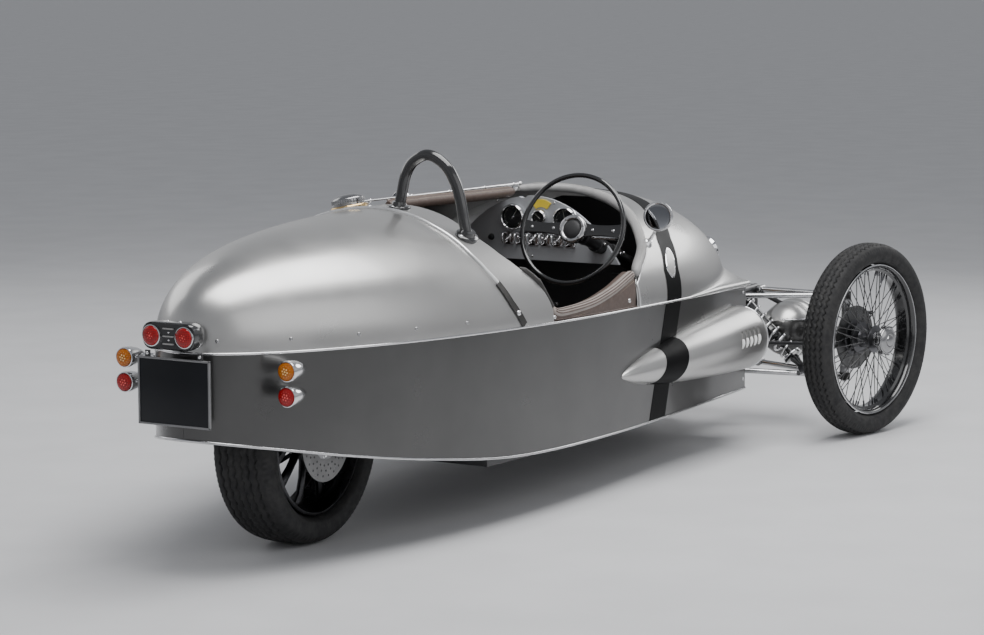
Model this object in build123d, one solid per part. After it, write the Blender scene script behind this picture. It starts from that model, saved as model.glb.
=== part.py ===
from build123d import *
import os
from math import sin, cos, pi, radians, sqrt, atan2, degrees, hypot

# Three wheeled open car: two steered wire wheels in front, one driven wheel
# behind, a boat-tailed body shell on a tubular front frame.
# Everything is drawn with x = 0 at the rear axle, +X forward, +Y left,
# +Z up from the ground, in millimetres.  On writing, the model is moved back
# by CENTRE_X so that its origin is under the middle of its bounding box.

os.makedirs("parts", exist_ok=True)

CENTRE_X = 1068.4

# ---------------------------------------------------------------- driving sizes
WHEELBASE = 2420.0          # rear axle to the kingpins
KINGPIN_Y = 690.0
WHEEL_OFF = 86.0            # kingpin to the wheel's middle plane
STEER_REST = 12.6           # degrees to the right, as parked
HUB_Z = 331.0
F_TYRE_R, F_TYRE_W = 331.0, 105.0
F_RIM_R, F_RIM_W = 250.0, 78.0
R_TYRE_R, R_TYRE_W = 303.5, 182.0
R_RIM_R, R_RIM_W = 212.0, 150.0

BODY_A = 1645.0             # length of the boat tail, from its widest place
BODY_B = 470.0              # half width at the widest place
BODY_X = 1100.0             # where the body is widest
BODY_H = 338.0              # height of the upper shell over the moulding line
MOULD_Z0, MOULD_SLOPE = 589.0, 0.030   # moulding line at x = 0 and its fall
FRONT_X = 2115.0            # front edge of the side panels
FRONT_B = 446.0             # half width there
SKIN = 18.0                 # upper shell
SIDE = 20.0                 # lower side panels
NOSE_TIP = 2400.0
COCKPIT_REAR = 590.0


def mould(x):
    return MOULD_Z0 - MOULD_SLOPE * x


def half_width(x):
    if x <= BODY_X:
        t = min(1.0, (BODY_X - x) / BODY_A)
        return BODY_B * sqrt(max(0.0, 1 - t * t))
    t = (x - BODY_X) / (FRONT_X - BODY_X)
    return BODY_B - (BODY_B - FRONT_B) * t * t


def tail_height(x):
    t = min(1.0, max(0.0, (BODY_X - x) / BODY_A))
    return BODY_H * (1 - t ** 3) ** (1 / 3)


def out(part, name):
    part = part.moved(Location((-CENTRE_X, 0, 0)))
    part.label = name
    export_step(part, "parts/" + name + ".step")


def group(shapes):
    """Several separate solids kept as one piece."""
    solids = []
    for p in shapes:
        solids += list(p.solids())
    return Compound(solids)


def box(x0, x1, y0, y1, z0, z1):
    return Pos((x0 + x1) / 2, (y0 + y1) / 2, (z0 + z1) / 2) * Box(x1 - x0, y1 - y0, z1 - z0)


def tube(a, b, r, r_in=0.0):
    a, b = Vector(*a), Vector(*b)
    d = b - a
    pl = Plane(origin=a, z_dir=d)
    s = extrude(pl * Circle(r), d.length)
    if r_in:
        s -= extrude(pl * Circle(r_in), d.length)
    return s


def ball(c, r):
    return Pos(*c) * Sphere(r)


def turned(profile, centre, axis_dir):
    """Solid of revolution: profile is (distance along the axis, radius) pairs."""
    pl = Plane(origin=centre, z_dir=axis_dir)
    pts = [(0, profile[0][0])] + [(r, h) for h, r in profile] + [(0, profile[-1][0])]
    clean = []
    for p in pts:
        if not clean or hypot(p[0] - clean[-1][0], p[1] - clean[-1][1]) > 1e-6:
            clean.append(p)
    face = make_face(Polyline(*clean, close=True))
    solid = revolve(Plane.XZ * face, Axis.Z, 360)
    return pl.location * solid


def arch(x, b, h, zb):
    """Half-ellipse face standing in the plane x."""
    pl = Plane(origin=(x, 0, zb), x_dir=(0, 1, 0), z_dir=(1, 0, 0))
    arc = EllipticalCenterArc((0, 0), b, h, start_angle=0, arc_size=180)
    return pl * make_face([arc, Line((-b, 0), (b, 0))])


# ------------------------------------------------------- the body's solid forms
# upper form, tail to cowl: x, and how far below the moulding it is closed
TAIL_X = (-541.0, -523.0, -488.0, -415.0, -290.0, -80.0, 200.0, 600.0, 1100.0)
# upper form, cowl to nose: x, half width, height, both over the moulding
NOSE_SECTIONS = (
    (1500.0, 468.0, 340.0),
    (1800.0, 449.0, 328.0),
    (2020.0, 403.0, 298.0),
    (2180.0, 333.0, 245.0),
    (2290.0, 252.0, 180.0),
    (2360.0, 168.0, 112.0),
    (2395.0, 85.0, 52.0),
)


def upper_form(inset, drop=0.0):
    faces = []
    for x in TAIL_X:
        xs = x + (inset if x < 0 else 0)
        b, h = half_width(x) - inset, tail_height(x) - inset
        if b < 12:
            continue
        faces.append(arch(xs, b, h + drop, mould(x) - drop))
    for x, b, h in NOSE_SECTIONS:
        xs = x - (inset if x > 2200 else 0)
        if b - inset < 60:
            continue
        faces.append(arch(xs, b - inset, h - inset + drop, mould(x) - drop))
    return loft(faces)


def plan_face(inset):
    """Outline of the lower body seen from above."""
    a, b = BODY_A - inset, BODY_B - inset
    fb = FRONT_B - inset
    tail = EllipticalCenterArc((BODY_X, 0), a, b, start_angle=90, arc_size=180)
    mid_x = (BODY_X + FRONT_X) / 2
    mid_b = half_width(mid_x) - inset
    left = ThreePointArc((FRONT_X, fb), (mid_x, mid_b), (BODY_X, b))
    right = ThreePointArc((BODY_X, -b), (mid_x, -mid_b), (FRONT_X, -fb))
    nose = Line((FRONT_X, -fb), (FRONT_X, fb))
    return make_face([left, tail, right, nose])


# lower edge of the side panels: x, z
LOW_EDGE = ((-600.0, 384.0), (-200.0, 302.0), (100.0, 250.0), (500.0, 200.0), (1100.0, 181.0), (2200.0, 172.0))


def side_profile():
    """Side view of the lower body, between its lower edge and the moulding."""
    low = [Line(LOW_EDGE[i], LOW_EDGE[i + 1]) for i in range(len(LOW_EDGE) - 1)]
    x0, x1 = LOW_EDGE[0][0], LOW_EDGE[-1][0]
    top = Polyline((x1, LOW_EDGE[-1][1]), (x1, mould(x1)), (x0, mould(x0)), (x0, LOW_EDGE[0][1]))
    return make_face(low + [top])


prism = extrude(Plane.XZ * side_profile(), 700, both=True)
lower_outer = extrude(plan_face(0), 800) & prism
lower_inner = extrude(plan_face(SIDE), 800)
lower_wall = lower_outer - lower_inner
# the tail is closed to a rounded end by the wall itself; the front stays open
lower_wall -= box(FRONT_X - 1, FRONT_X + 200, -600, 600, 0, 900)
right_wall = lower_wall & box(-700, 2200, -600, -1.0, 0, 900)
left_wall = lower_wall & box(-700, 2200, 1.0, 600, 0, 900)

upper_outer = upper_form(0)
upper_inner = upper_form(SKIN, drop=30.0)
upper_shell = upper_outer - upper_inner

# ------------------------------------------------------------- joints in panels


def joint_side(line, shift, forward):
    """Everything in front of (or behind) a transverse joint, given as points seen from the side."""
    pts = [(x + shift, z) for x, z in line]
    far = 4000.0 if forward else -2000.0
    pts += [(far, line[-1][1]), (far, line[0][1])]
    return extrude(Plane.XZ * make_face(Polyline(*pts, close=True)), 900, both=True)


# joint between deck and cowl, and joint between cowl and bonnet: x, z
SEAM = ((560.0, 300.0), (528.0, 575.0), (474.0, 648.0), (443.0, 708.0), (422.0, 746.0), (407.0, 788.0), (402.0, 868.0), (420.0, 915.0), (440.0, 1300.0))
COWL = ((1428.0, 300.0), (1430.0, 546.0), (1449.0, 646.0), (1522.0, 732.0), (1612.0, 786.0), (1708.0, 823.0), (1800.0, 868.0), (1830.0, 900.0), (1840.0, 1300.0))
rear_deck = upper_shell & joint_side(SEAM, -1, False)
middle = upper_shell & joint_side(SEAM, 1, True)
cowl_mid = middle & joint_side(COWL, -1, False)
bonnet = upper_shell & joint_side(COWL, 1, True)

# flares: the bonnet's lower edge sweeps out to a point over each front corner
FLARE_X0, FLARE_X1, FLARE_H = 1640.0, 2138.0, 50.0
for s in (-1, 1):
    ends = []
    for x, y_out, y_in, h in ((FLARE_X0, 463.0, 452.0, 4.0), (FLARE_X1, 449.0, 340.0, FLARE_H)):
        pl = Plane(origin=(x, 0, mould(x) + 0.5), x_dir=(0, 1, 0), z_dir=(1, 0, 0))
        tri = Polyline((s * y_out, 0), (s * y_in, h), (s * y_in, 0), close=True)
        ends.append(pl * make_face(tri))
    bonnet += loft(ends, ruled=True)

# cockpit opening, for the driver on the right: seen from above (x, y)
OPEN_LEFT = 75.0
open_plan = make_face([
    Line((COCKPIT_REAR, OPEN_LEFT), (1380, OPEN_LEFT)),
    ThreePointArc((1380, OPEN_LEFT), (1560, -60), (1530, -270)),
    ThreePointArc((1530, -270), (1404, -396), (1225, -470)),
    Line((1225, -470), (1225, -560)),
    Line((1225, -560), (690, -560)),
    Line((690, -560), (690, -430)),
    ThreePointArc((690, -430), (586, -392), (518, -290)),
    ThreePointArc((518, -290), (552, -110), (COCKPIT_REAR, OPEN_LEFT)),
])
opening = Pos(0, 0, 560) * extrude(open_plan, 600)
# passenger side: the same opening mirrored, closed by a rigid cover
pass_plan = mirror(open_plan, Plane.XZ)
half = box(0, 2200, OPEN_LEFT + 1, 700, 300, 1300)
pass_open = Pos(0, 0, 560) * extrude(pass_plan, 600)
cover = (cowl_mid & pass_open & half)
cover_gap = Pos(0, 0, 560) * extrude(offset(pass_plan, 2), 600) & half
surround = cowl_mid - opening - cover_gap

out(rear_deck, "rear_deck")
out(surround, "cockpit_surround")
out(cover, "passenger_cover")
out(bonnet, "bonnet")
out(right_wall, "side_panel_right")
out(left_wall, "side_panel_left")

# --------------------------------------------------------------- floor and walls
FLOOR_Z0, FLOOR_Z1 = 186.0, 204.0
floor = Pos(0, 0, FLOOR_Z0) * extrude(plan_face(SIDE + 1), FLOOR_Z1 - FLOOR_Z0)
BULK_X = 372.0
floor &= box(BULK_X, FRONT_X - 14, -600, 600, 0, 400)
out(floor, "floor_pan")

bulk_plan = extrude(plan_face(SIDE + 1), 1000)
bulkhead = box(BULK_X, BULK_X + 14, -600, 600, FLOOR_Z1, 840) & bulk_plan & (upper_form(SKIN + 1, drop=420.0))

firewall = box(1745, 1759, -600, 600, FLOOR_Z1, 840) & bulk_plan & (upper_form(SKIN + 1, drop=420.0))
BELT_Y0, BELT_Y1 = 90.0, 116.0
bulkhead -= box(BULK_X - 20, BULK_X + 40, BELT_Y0 - 8, BELT_Y1 + 8, 170, 440)
out(group([bulkhead, firewall]), "bulkheads")

# arched liner over the rear wheel, open below
LINER_R, LINER_W, LINER_T = 352.0, 250.0, 4.0
liner = Pos(0, 0, R_TYRE_R + 20) * (Rot(90, 0, 0) * (Cylinder(LINER_R, LINER_W) - Cylinder(LINER_R - LINER_T, LINER_W - 2 * LINER_T)))
liner &= box(-600, 600, -300, 300, R_TYRE_R + 128, 1200)
out(liner, "wheel_liner")


# --------------------------------------------------------------------- nose cone
# rounded nose below the bonnet: elliptical in plan, with a mouth full of fins
NOSE_Y, NOSE_Z0, NOSE_Z1 = 262.0, 176.0, mould(FRONT_X) - 8


def nose_plan(inset):
    a, b = NOSE_TIP - FRONT_X - 30 - inset, NOSE_Y - inset
    return make_face([EllipticalCenterArc((FRONT_X + 2, 0), a, b, start_angle=-90, arc_size=180), Line((FRONT_X + 2, b), (FRONT_X + 2, -b))])


nose_shell = Pos(0, 0, NOSE_Z0) * (extrude(nose_plan(0), NOSE_Z1 - NOSE_Z0) - extrude(nose_plan(12), NOSE_Z1 - NOSE_Z0))
MOUTH_Y, MOUTH_Z0, MOUTH_Z1 = 150.0, 232.0, 470.0
TIE_ARM = 165.0              # steering arm: kingpin to the tie rod's pin
TIE_X = WHEELBASE - TIE_ARM
TIE_Z = 300.0
RACK_Z = TIE_Z
CUP_X = TIE_X + 4.0          # the cups sit a little forward, in the middle of the rods' drift
rack_way = tube((CUP_X, -400, RACK_Z), (CUP_X, 400, RACK_Z), 36)
nose_shell -= rack_way
nose_shell -= box(FRONT_X + 100, NOSE_TIP + 50, -MOUTH_Y, MOUTH_Y, MOUTH_Z0, MOUTH_Z1)
out(nose_shell, "nose_cone")
FIN_PITCH, FIN_T, FIN_COUNT = 24.0, 5.0, 13
tall = MOUTH_Z1 - MOUTH_Z0 + 12
fin_zone = Pos(0, 0, MOUTH_Z0 - 6) * (extrude(nose_plan(13), tall) - extrude(nose_plan(34), tall))
core = Pos(0, 0, MOUTH_Z0 - 6) * (extrude(nose_plan(33), tall) - extrude(nose_plan(37), tall)) & box(FRONT_X + 90, 2500, -170, 170, 0, 900)
for i in range(FIN_COUNT):
    y = (i - (FIN_COUNT - 1) / 2) * FIN_PITCH
    core += fin_zone & box(FRONT_X + 80, 2500, y - FIN_T / 2, y + FIN_T / 2, 0, 900)
core -= rack_way
out(core, "nose_fins")

# ------------------------------------------------------------------ front frame
FR_Y, FR_LOW, FR_TOP = 292.0, 200.0, 462.0
FR_X0, FR_X1 = 2095.0, 2560.0
FR_R = 16.0
frame_parts = []
rails = [  # (x, y, z) ends of each tube
    ((FR_X0, FR_Y, FR_LOW), (FR_X1, FR_Y, FR_LOW)),
    ((FR_X0, FR_Y, FR_TOP), (FR_X1, FR_Y, FR_TOP)),
    ((2165, FR_Y, FR_LOW), (2165, FR_Y, FR_TOP)),
    ((2540, FR_Y, FR_LOW), (2540, FR_Y, FR_TOP)),
]
frame = None
for s in (-1, 1):
    for a, b in rails:
        t = tube((a[0], s * a[1], a[2]), (b[0], s * b[1], b[2]), FR_R)
        frame = t if frame is None else frame + t
for z in (FR_LOW, FR_TOP):
    frame += tube((2540, -FR_Y, z), (2540, FR_Y, z), FR_R)
frame -= box(2000, FRONT_X - 10, -600, 600, 0, 900)
out(frame, "front_frame")

# ------------------------------------------------------------------- suspension
ARM_R = 9.5
BJ_TOP, BJ_LOW = 474.0, 192.0
BJ_Y = KINGPIN_Y
DAMP_TOP = (2368.0, 318.0, 446.0)
DAMP_LOW = (2368.0, 560.0, 214.0)


def wishbone(s, z_in, z_out, z_clear):
    w = None
    for dx in (-115.0, 115.0):
        t = tube((WHEELBASE + dx, s * (FR_Y + 22), z_in), (WHEELBASE + dx * 0.06, s * (BJ_Y - 10), z_out), ARM_R)
        sleeve = tube((WHEELBASE + dx - 18, s * (FR_Y + 30), z_in), (WHEELBASE + dx + 18, s * (FR_Y + 30), z_in), 14)
        lug = box(WHEELBASE + dx - 6, WHEELBASE + dx + 6, min(s * (FR_Y + 14), s * (FR_Y + 30)), max(s * (FR_Y + 14), s * (FR_Y + 30)), z_in - 10, z_in + 10)
        t = t + sleeve + lug
        w = t if w is None else w + t
    end = Pos(WHEELBASE, s * BJ_Y, z_out) * Cylinder(17, 26)
    w = w + end
    return w


arms, dampers = [], []
for s in (-1, 1):
    up = wishbone(s, FR_TOP, BJ_TOP, 0)
    lo = wishbone(s, FR_LOW, BJ_LOW, 0)
    # spring seat bridge on the lower arm
    bridge = tube((WHEELBASE - 72, s * 548, 199), (WHEELBASE + 45, s * 548, 199), 8)
    lo += bridge
    up -= frame
    lo -= frame
    arms += [up, lo]
    a = Vector(DAMP_TOP[0], s * DAMP_TOP[1], DAMP_TOP[2])
    b = Vector(DAMP_LOW[0], s * DAMP_LOW[1], DAMP_LOW[2])
    d = (b - a).normalized()
    body = tube(tuple(a + d * 14), tuple(a + d * 190), 22)
    rod = tube(tuple(a + d * 150), tuple(b - d * 6), 8)
    cup1 = tube(tuple(a + d * 20), tuple(a + d * 30), 36)
    cup2 = tube(tuple(b - d * 62), tuple(b - d * 50), 36)
    spring = tube(tuple(a + d * 30), tuple(b - d * 62), 33, 24)
    eye_t = tube((a.X - 14, a.Y, a.Z), (a.X + 14, a.Y, a.Z), 15)
    damper = body + rod + cup1 + cup2 + spring + eye_t
    damper -= lo
    damper -= frame
    dampers.append(damper)
out(group(arms), "suspension_arms")
out(group(dampers), "front_dampers")


# ---------------------------------------------------------------- front corners
def steer(part, s):
    """Turns a corner drawn straight ahead to its parked angle."""
    return part.rotate(Axis((WHEELBASE, s * KINGPIN_Y, 0), (0, 0, 1)), -STEER_REST)


def y_rev(profile, yc, s, z=HUB_Z, x=WHEELBASE):
    """Revolved about a wheel's axle; profile heights run outwards from yc."""
    return turned(profile, (x, s * yc, z), (0, s, 0))


PIN_R, EYE_R = 6.0, 6.05
WHEEL_Y = KINGPIN_Y + WHEEL_OFF


def tyre(r, w, rim_r, s, yc, x, z):
    hw = w / 2
    prof = make_face(Polyline(
        (rim_r, -hw * 0.66), (rim_r + (r - rim_r) * 0.45, -hw), (r - (r - rim_r) * 0.22, -hw * 0.92), (r - 3, -hw * 0.62), (r, -hw * 0.25),
        (r, hw * 0.25), (r - 3, hw * 0.62), (r - (r - rim_r) * 0.22, hw * 0.92), (rim_r + (r - rim_r) * 0.45, hw), (rim_r, hw * 0.66), close=True))
    ring = revolve(Plane.XZ * prof, Axis.Z, 360)
    return Plane(origin=(x, s * yc, z), z_dir=(0, s, 0)).location * ring


def rim(r, w, depth, s, yc, x, z):
    hw = w / 2
    prof = make_face(Polyline(
        (r, -hw), (r + 7, -hw), (r + 7, -hw + 4), (r, -hw + 7), (r - depth, -hw * 0.4), (r - depth, hw * 0.4), (r, hw - 7), (r + 7, hw - 4), (r + 7, hw), (r, hw),
        (r - depth - 6, hw * 0.42), (r - depth - 6, -hw * 0.42), close=True))
    ring = revolve(Plane.XZ * prof, Axis.Z, 360)
    return Plane(origin=(x, s * yc, z), z_dir=(0, s, 0)).location * ring


for s, side in ((-1, "right"), (1, "left")):
    # knuckle: upright post between the ball joints, stub axle, steering arm
    post = tube((WHEELBASE, s * BJ_Y, BJ_LOW + 13.4), (WHEELBASE, s * BJ_Y, BJ_TOP - 13.4), 15)
    boss = tube((WHEELBASE, s * (BJ_Y - 26), HUB_Z), (WHEELBASE, s * (BJ_Y + 30), HUB_Z), 34)
    stub = tube((WHEELBASE, s * (BJ_Y + 20), HUB_Z), (WHEELBASE, s * (BJ_Y + WHEEL_OFF + 34), HUB_Z), 12)
    arm = tube((WHEELBASE - 8, s * (BJ_Y - 6), TIE_Z), (TIE_X, s * (BJ_Y - 20), TIE_Z), 9)
    eye = Pos(TIE_X, s * (BJ_Y - 20), TIE_Z) * Cylinder(11, 18) + Pos(TIE_X, s * (BJ_Y - 20), TIE_Z + 20) * Cylinder(PIN_R, 24)
    caliper = Pos(WHEELBASE + 78, s * (BJ_Y + 24), HUB_Z + 40) * Box(46, 44, 84)
    bracket = tube((WHEELBASE + 6, s * BJ_Y, HUB_Z + 22), (WHEELBASE + 76, s * (BJ_Y + 8), HUB_Z + 34), 10)
    disc_slot = tube((WHEELBASE, s * (BJ_Y + 31), HUB_Z), (WHEELBASE, s * (BJ_Y + 48), HUB_Z), 122)
    disc_slot += tube((WHEELBASE, s * (BJ_Y + 31), HUB_Z), (WHEELBASE, s * (BJ_Y + 90), HUB_Z), 66)
    knuckle = post + boss + stub + arm + eye + bracket
    knuckle = knuckle + (caliper - disc_slot)
    out(steer(knuckle, s), "knuckle_" + side)

    hub = turned([(-40, 40), (-30, 46), (-24, 52), (-18, 52), (-12, 30), (30, 24), (34, 44), (39, 44), (43, 27), (50, 26)], (WHEELBASE, s * WHEEL_Y, HUB_Z), (0, s, 0))
    hub -= tube((WHEELBASE, s * (WHEEL_Y - 60), HUB_Z), (WHEELBASE, s * (WHEEL_Y + 38), HUB_Z), 12.05)
    cap = turned([(51, 26), (56, 30), (68, 44), (76, 49), (88, 49), (96, 45), (101, 32), (103, 0.01)], (WHEELBASE, s * WHEEL_Y, HUB_Z), (0, s, 0))
    for k in (0, 1):
        ear = Pos(WHEELBASE, s * (WHEEL_Y + 60), HUB_Z) * (Rot(0, 90 * 0 + 180 * k, 0) * (Pos(38, 0, 0) * Box(34, 12, 14)))
        cap += ear
    disc = turned([(-50, 110), (-43, 110)], (WHEELBASE, s * WHEEL_Y, HUB_Z), (0, s, 0))
    disc -= tube((WHEELBASE, s * (WHEEL_Y - 60), HUB_Z), (WHEELBASE, s * (WHEEL_Y - 30), HUB_Z), 60)
    hat = turned([(-50, 60), (-40, 60), (-40.0, 38)], (WHEELBASE, s * WHEEL_Y, HUB_Z), (0, s, 0)) - tube((WHEELBASE, s * (WHEEL_Y - 60), HUB_Z), (WHEELBASE, s * (WHEEL_Y - 30), HUB_Z), 36)
    disc = disc + hat
    hub = hub + cap + disc
    out(steer(hub, s), "front_hub_" + side)
    out(steer(tyre(F_TYRE_R, F_TYRE_W, F_RIM_R + 7.5, s, WHEEL_Y, WHEELBASE, HUB_Z), s), "front_tyre_" + side)
    front_rim = rim(F_RIM_R, F_RIM_W, 14, s, WHEEL_Y, WHEELBASE, HUB_Z)
    # spokes: hub flange, number, angle step, from inner or outer flange
    SPOKES = ((-21.0, 12, 15.0, 51.0), (36.5, 12, 0.0, 43.0))
    wires = None
    for off, n, a0, r0 in SPOKES:
        for k in range(n):
            a = radians(a0 + 360.0 / n * k)
            lean = radians(14 if k % 2 else -14)
            p0 = (WHEELBASE + (r0 - 3) * cos(a), s * (WHEEL_Y + off), HUB_Z + (r0 - 3) * sin(a))
            r1 = F_RIM_R - 19
            p1 = (WHEELBASE + r1 * cos(a + lean), s * (WHEEL_Y + off * 0.1), HUB_Z + r1 * sin(a + lean))
            t = tube(p0, p1, 2.4)
            wires = t if wires is None else wires + t
    rim_spokes = front_rim + wires - hub
    out(steer(rim_spokes, s), "front_rim_" + side)

# ------------------------------------------------------------------ steering gear
RACK_R = 13.0
rack_house = tube((TIE_X, -150, RACK_Z), (TIE_X, 150, RACK_Z), 22, 13.05)
rack_lugs = box(TIE_X - 14, TIE_X + 14, -120, -90, RACK_Z - 118, RACK_Z) + box(TIE_X - 14, TIE_X + 14, 90, 120, RACK_Z - 118, RACK_Z)
rack_lugs -= tube((TIE_X, -190, RACK_Z), (TIE_X, 190, RACK_Z), 20)
cross = box(TIE_X - 16, TIE_X + 16, -FR_Y + 12, FR_Y - 12, RACK_Z - 108, RACK_Z - 96)
rack_house = rack_house + rack_lugs + cross - frame - nose_shell
out(rack_house, "rack_housing")
rest = radians(STEER_REST)


def eye_at(s):
    """Where the knuckle's eye is at the parked angle."""
    dx, dy = TIE_X - WHEELBASE, s * (BJ_Y - 20) - s * KINGPIN_Y
    return (WHEELBASE + dx * cos(-rest) - dy * sin(-rest), s * KINGPIN_Y + dx * sin(-rest) + dy * cos(-rest), TIE_Z)


rack_shift = TIE_ARM * rest
RACK_HALF = 264.0
rod = tube((TIE_X, -RACK_HALF + rack_shift, RACK_Z), (TIE_X, RACK_HALF + rack_shift, RACK_Z), RACK_R)
for s, side in ((-1, "right"), (1, "left")):
    y_in, y_out = s * (RACK_HALF - 2) + rack_shift, s * (RACK_HALF + 74) + rack_shift
    # bellows cup at each end, which the tie rod's inner end sits in with room all round
    cup = tube((CUP_X, y_in, RACK_Z), (CUP_X, y_out, RACK_Z), 25)
    cup -= tube((CUP_X, y_in + s * 12, RACK_Z), (CUP_X, y_out + s, RACK_Z), 21.5)
    rod += cup
    ex, ey, ez = eye_at(s)
    end = Vector(ex, ey, TIE_Z + 20)
    start = Vector(TIE_X, s * (RACK_HALF + 34) + rack_shift, RACK_Z)
    d = (end - start).normalized()
    tie = tube(tuple(start), tuple(end - d * 8), 6.5) + Pos(ex, ey, TIE_Z + 20) * Cylinder(13, 16)
    tie -= Pos(ex, ey, TIE_Z + 20) * Cylinder(EYE_R, 60)
    out(tie, "tie_rod_" + side)
out(rod, "steering_rack")

# steering wheel and column, on the right
SW_C = Vector(1205.0, -246.0, 789.0)
SW_R, SW_TILT = 175.0, 20.0
sw_axis = Vector(-cos(radians(SW_TILT)), 0, sin(radians(SW_TILT)))   # towards the driver
wheel_pl = Plane(origin=SW_C, x_dir=(0, -1, 0), z_dir=sw_axis)
rim_ring = wheel_pl.location * Torus(SW_R, 8.5)
hub_sw = wheel_pl.location * (Pos(0, 0, -6) * Cylinder(46, 30))
spokes_sw = wheel_pl.location * (Pos(0, 0, 0) * Box(2 * SW_R - 8, 30, 9))
col_end = SW_C - sw_axis * 620
wheel_sw = rim_ring + hub_sw + spokes_sw
shaft = tube(tuple(SW_C - sw_axis * 20), tuple(SW_C - sw_axis * 500), 9)
wheel_sw = wheel_sw + shaft
out(wheel_sw, "steering_wheel")
column = tube(tuple(SW_C - sw_axis * 75), tuple(SW_C - sw_axis * 470), 24, 9.05)
stalk_dir = Vector(0, -1, 0)
s0 = SW_C - sw_axis * 100
column += tube(tuple(s0 + stalk_dir * 20), tuple(s0 + stalk_dir * 120), 5)
column += ball(tuple(s0 + stalk_dir * 122), 10)
out(column, "steering_column")

# ---------------------------------------------------------------------- interior
DASH_X = 1400.0
dash = box(DASH_X, DASH_X + 12, -600, 600, 660, 900) & bulk_plan & upper_form(SKIN + 1, drop=420.0)
dash -= tube(tuple(SW_C - sw_axis * 70), tuple(SW_C - sw_axis * 480), 25)
gauges = None
GAUGES = ((67.0, 798.0, 42.0), (-29.0, 799.0, 27.0), (-123.0, 796.0, 42.0))   # y, z, radius
for gy, gz, gr in GAUGES:
    g = turned([(0, gr - 2), (0, gr), (16, gr), (20, gr - 5), (13, gr - 6)], (DASH_X, gy, gz), (-1, 0, 0))
    gauges = g if gauges is None else gauges + g
for k in range(6):
    y = 85 - 45 * k
    base = box(DASH_X - 5, DASH_X, y - 18, y + 18, 708, 750)
    lever = tube((DASH_X - 4, y, 728), (DASH_X - 24, y, 733), 3.2)
    gauges = gauges + base + lever
out(gauges, "gauges_and_switches")

# elbow pad along the cut-down side, and the padded roll round the front edge
pad_plan = make_face([
    ThreePointArc((690, -436), (950, -470 + 6), (1222, -464)),
    Line((1222, -464), (1222, -404)),
    ThreePointArc((1222, -404), (950, -414), (690, -392)),
    Line((690, -392), (690, -436)),
])
pad_side = Plane.XZ * make_face(
    [Line((680, mould(680) + 1), (1230, mould(1230) + 1)), Line((1230, mould(1230) + 1), (1230, 668)),
     Spline((1230, 668), (1199, 666), (1059, 631), (924, 609), (792, 602), (728, 605), (680, 628)),
     Line((680, 628), (680, mould(680) + 1))])
elbow = Pos(0, 0, mould(1230) - 10) * extrude(pad_plan, 160) & extrude(pad_side, 700, both=True)
elbow = elbow - surround - right_wall
elbow = group([max(elbow.solids(), key=lambda q: q.volume)])
out(elbow, "elbow_pad")


def pad_path(points, radius, r):
    path = FilletPolyline(*points, radius=radius)
    start = path @ 0
    return sweep(Plane(origin=start, z_dir=path % 0) * Circle(r), path)


ROLL_R = 19.0
ROLL = ((600, 58, 889), (1330, 58, 876), (1560, -20, 884), (1545, -240, 812), (1390, -375, 726), (1235, -432, 632))
front_roll = pad_path(ROLL, 90, ROLL_R) - surround - cover - elbow
out(group([max(front_roll.solids(), key=lambda q: q.volume)]), "coaming_roll")
out(dash - front_roll, "dashboard")

rod_rail = tube((505, 100, 915), (1500, 100, 897), 4) + ball((1500, 100, 897), 8) + ball((505, 100, 915), 8)
out(rod_rail, "cover_rail")

SEAT = dict(x0=640.0, x1=1120.0, z0=FLOOR_Z1 + 10, z1=330.0)
cushions, backs = [], []
for s in (-1, 1):
    cy = s * 190
    cushion = box(SEAT["x0"] + 60, SEAT["x1"], cy - 176, cy + 176, SEAT["z0"], SEAT["z1"])
    cushion = fillet(cushion.edges(), 30)
    backrest = box(0, 100, cy - 176, cy + 176, 0, 400)
    backrest = fillet(backrest.edges(), 32)
    backrest = Pos(620, 0, 340) * (Rot(0, -14, 0) * backrest) & upper_form(SKIN + 8, drop=420.0)
    cushions.append(cushion)
    backs.append(backrest)
out(group(cushions), "seat_cushions")
out(group(backs), "seat_backs")

# ------------------------------------------------------------- fittings on the body
HOOP_X, HOOP_R = 478.0, 17.0
HOOP_LINE = ((-284, 700), (-276, 826), (-266, 880), (-254, 940), (-236, 990), (-205, 1035), (-150, 1064), (-100, 1044), (-73, 1005), (-60, 955), (-50, 910), (-42, 860), (-36, 720))   # y, z
hoop_path = Spline(*[(HOOP_X, y, z) for y, z in HOOP_LINE])
hoop = sweep(Plane(origin=hoop_path @ 0, z_dir=hoop_path % 0) * Circle(HOOP_R), hoop_path)
hoop -= upper_outer
out(hoop, "roll_hoop")

cap_c = (465.0, 125.0, 895.0)
filler = turned([(-14, 44), (3, 52), (6, 57), (12, 58), (16, 51), (30, 48), (40, 38), (45, 22), (47, 0.01)], cap_c, (0.02, 0.15, 0.98))
filler -= upper_outer
out(filler, "filler_cap")

mirrors = []
for s in (-1, 1):
    m = (1355.0, s * 470.0, 826.0)
    stalk = tube((1440, s * 392, 722), (1372, s * 466, 812), 5)
    foot = ball((1440, s * 392, 722), 16)
    housing = turned([(-4, 0.01), (-4, 40), (0, 49), (6, 50), (22, 38), (34, 18), (38, 0.01)], m, (0.94, -s * 0.18, 0.0))
    mirror_part = stalk + foot + housing - upper_outer
    mirrors.append(mirror_part)
out(group(mirrors), "mirrors")


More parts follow.
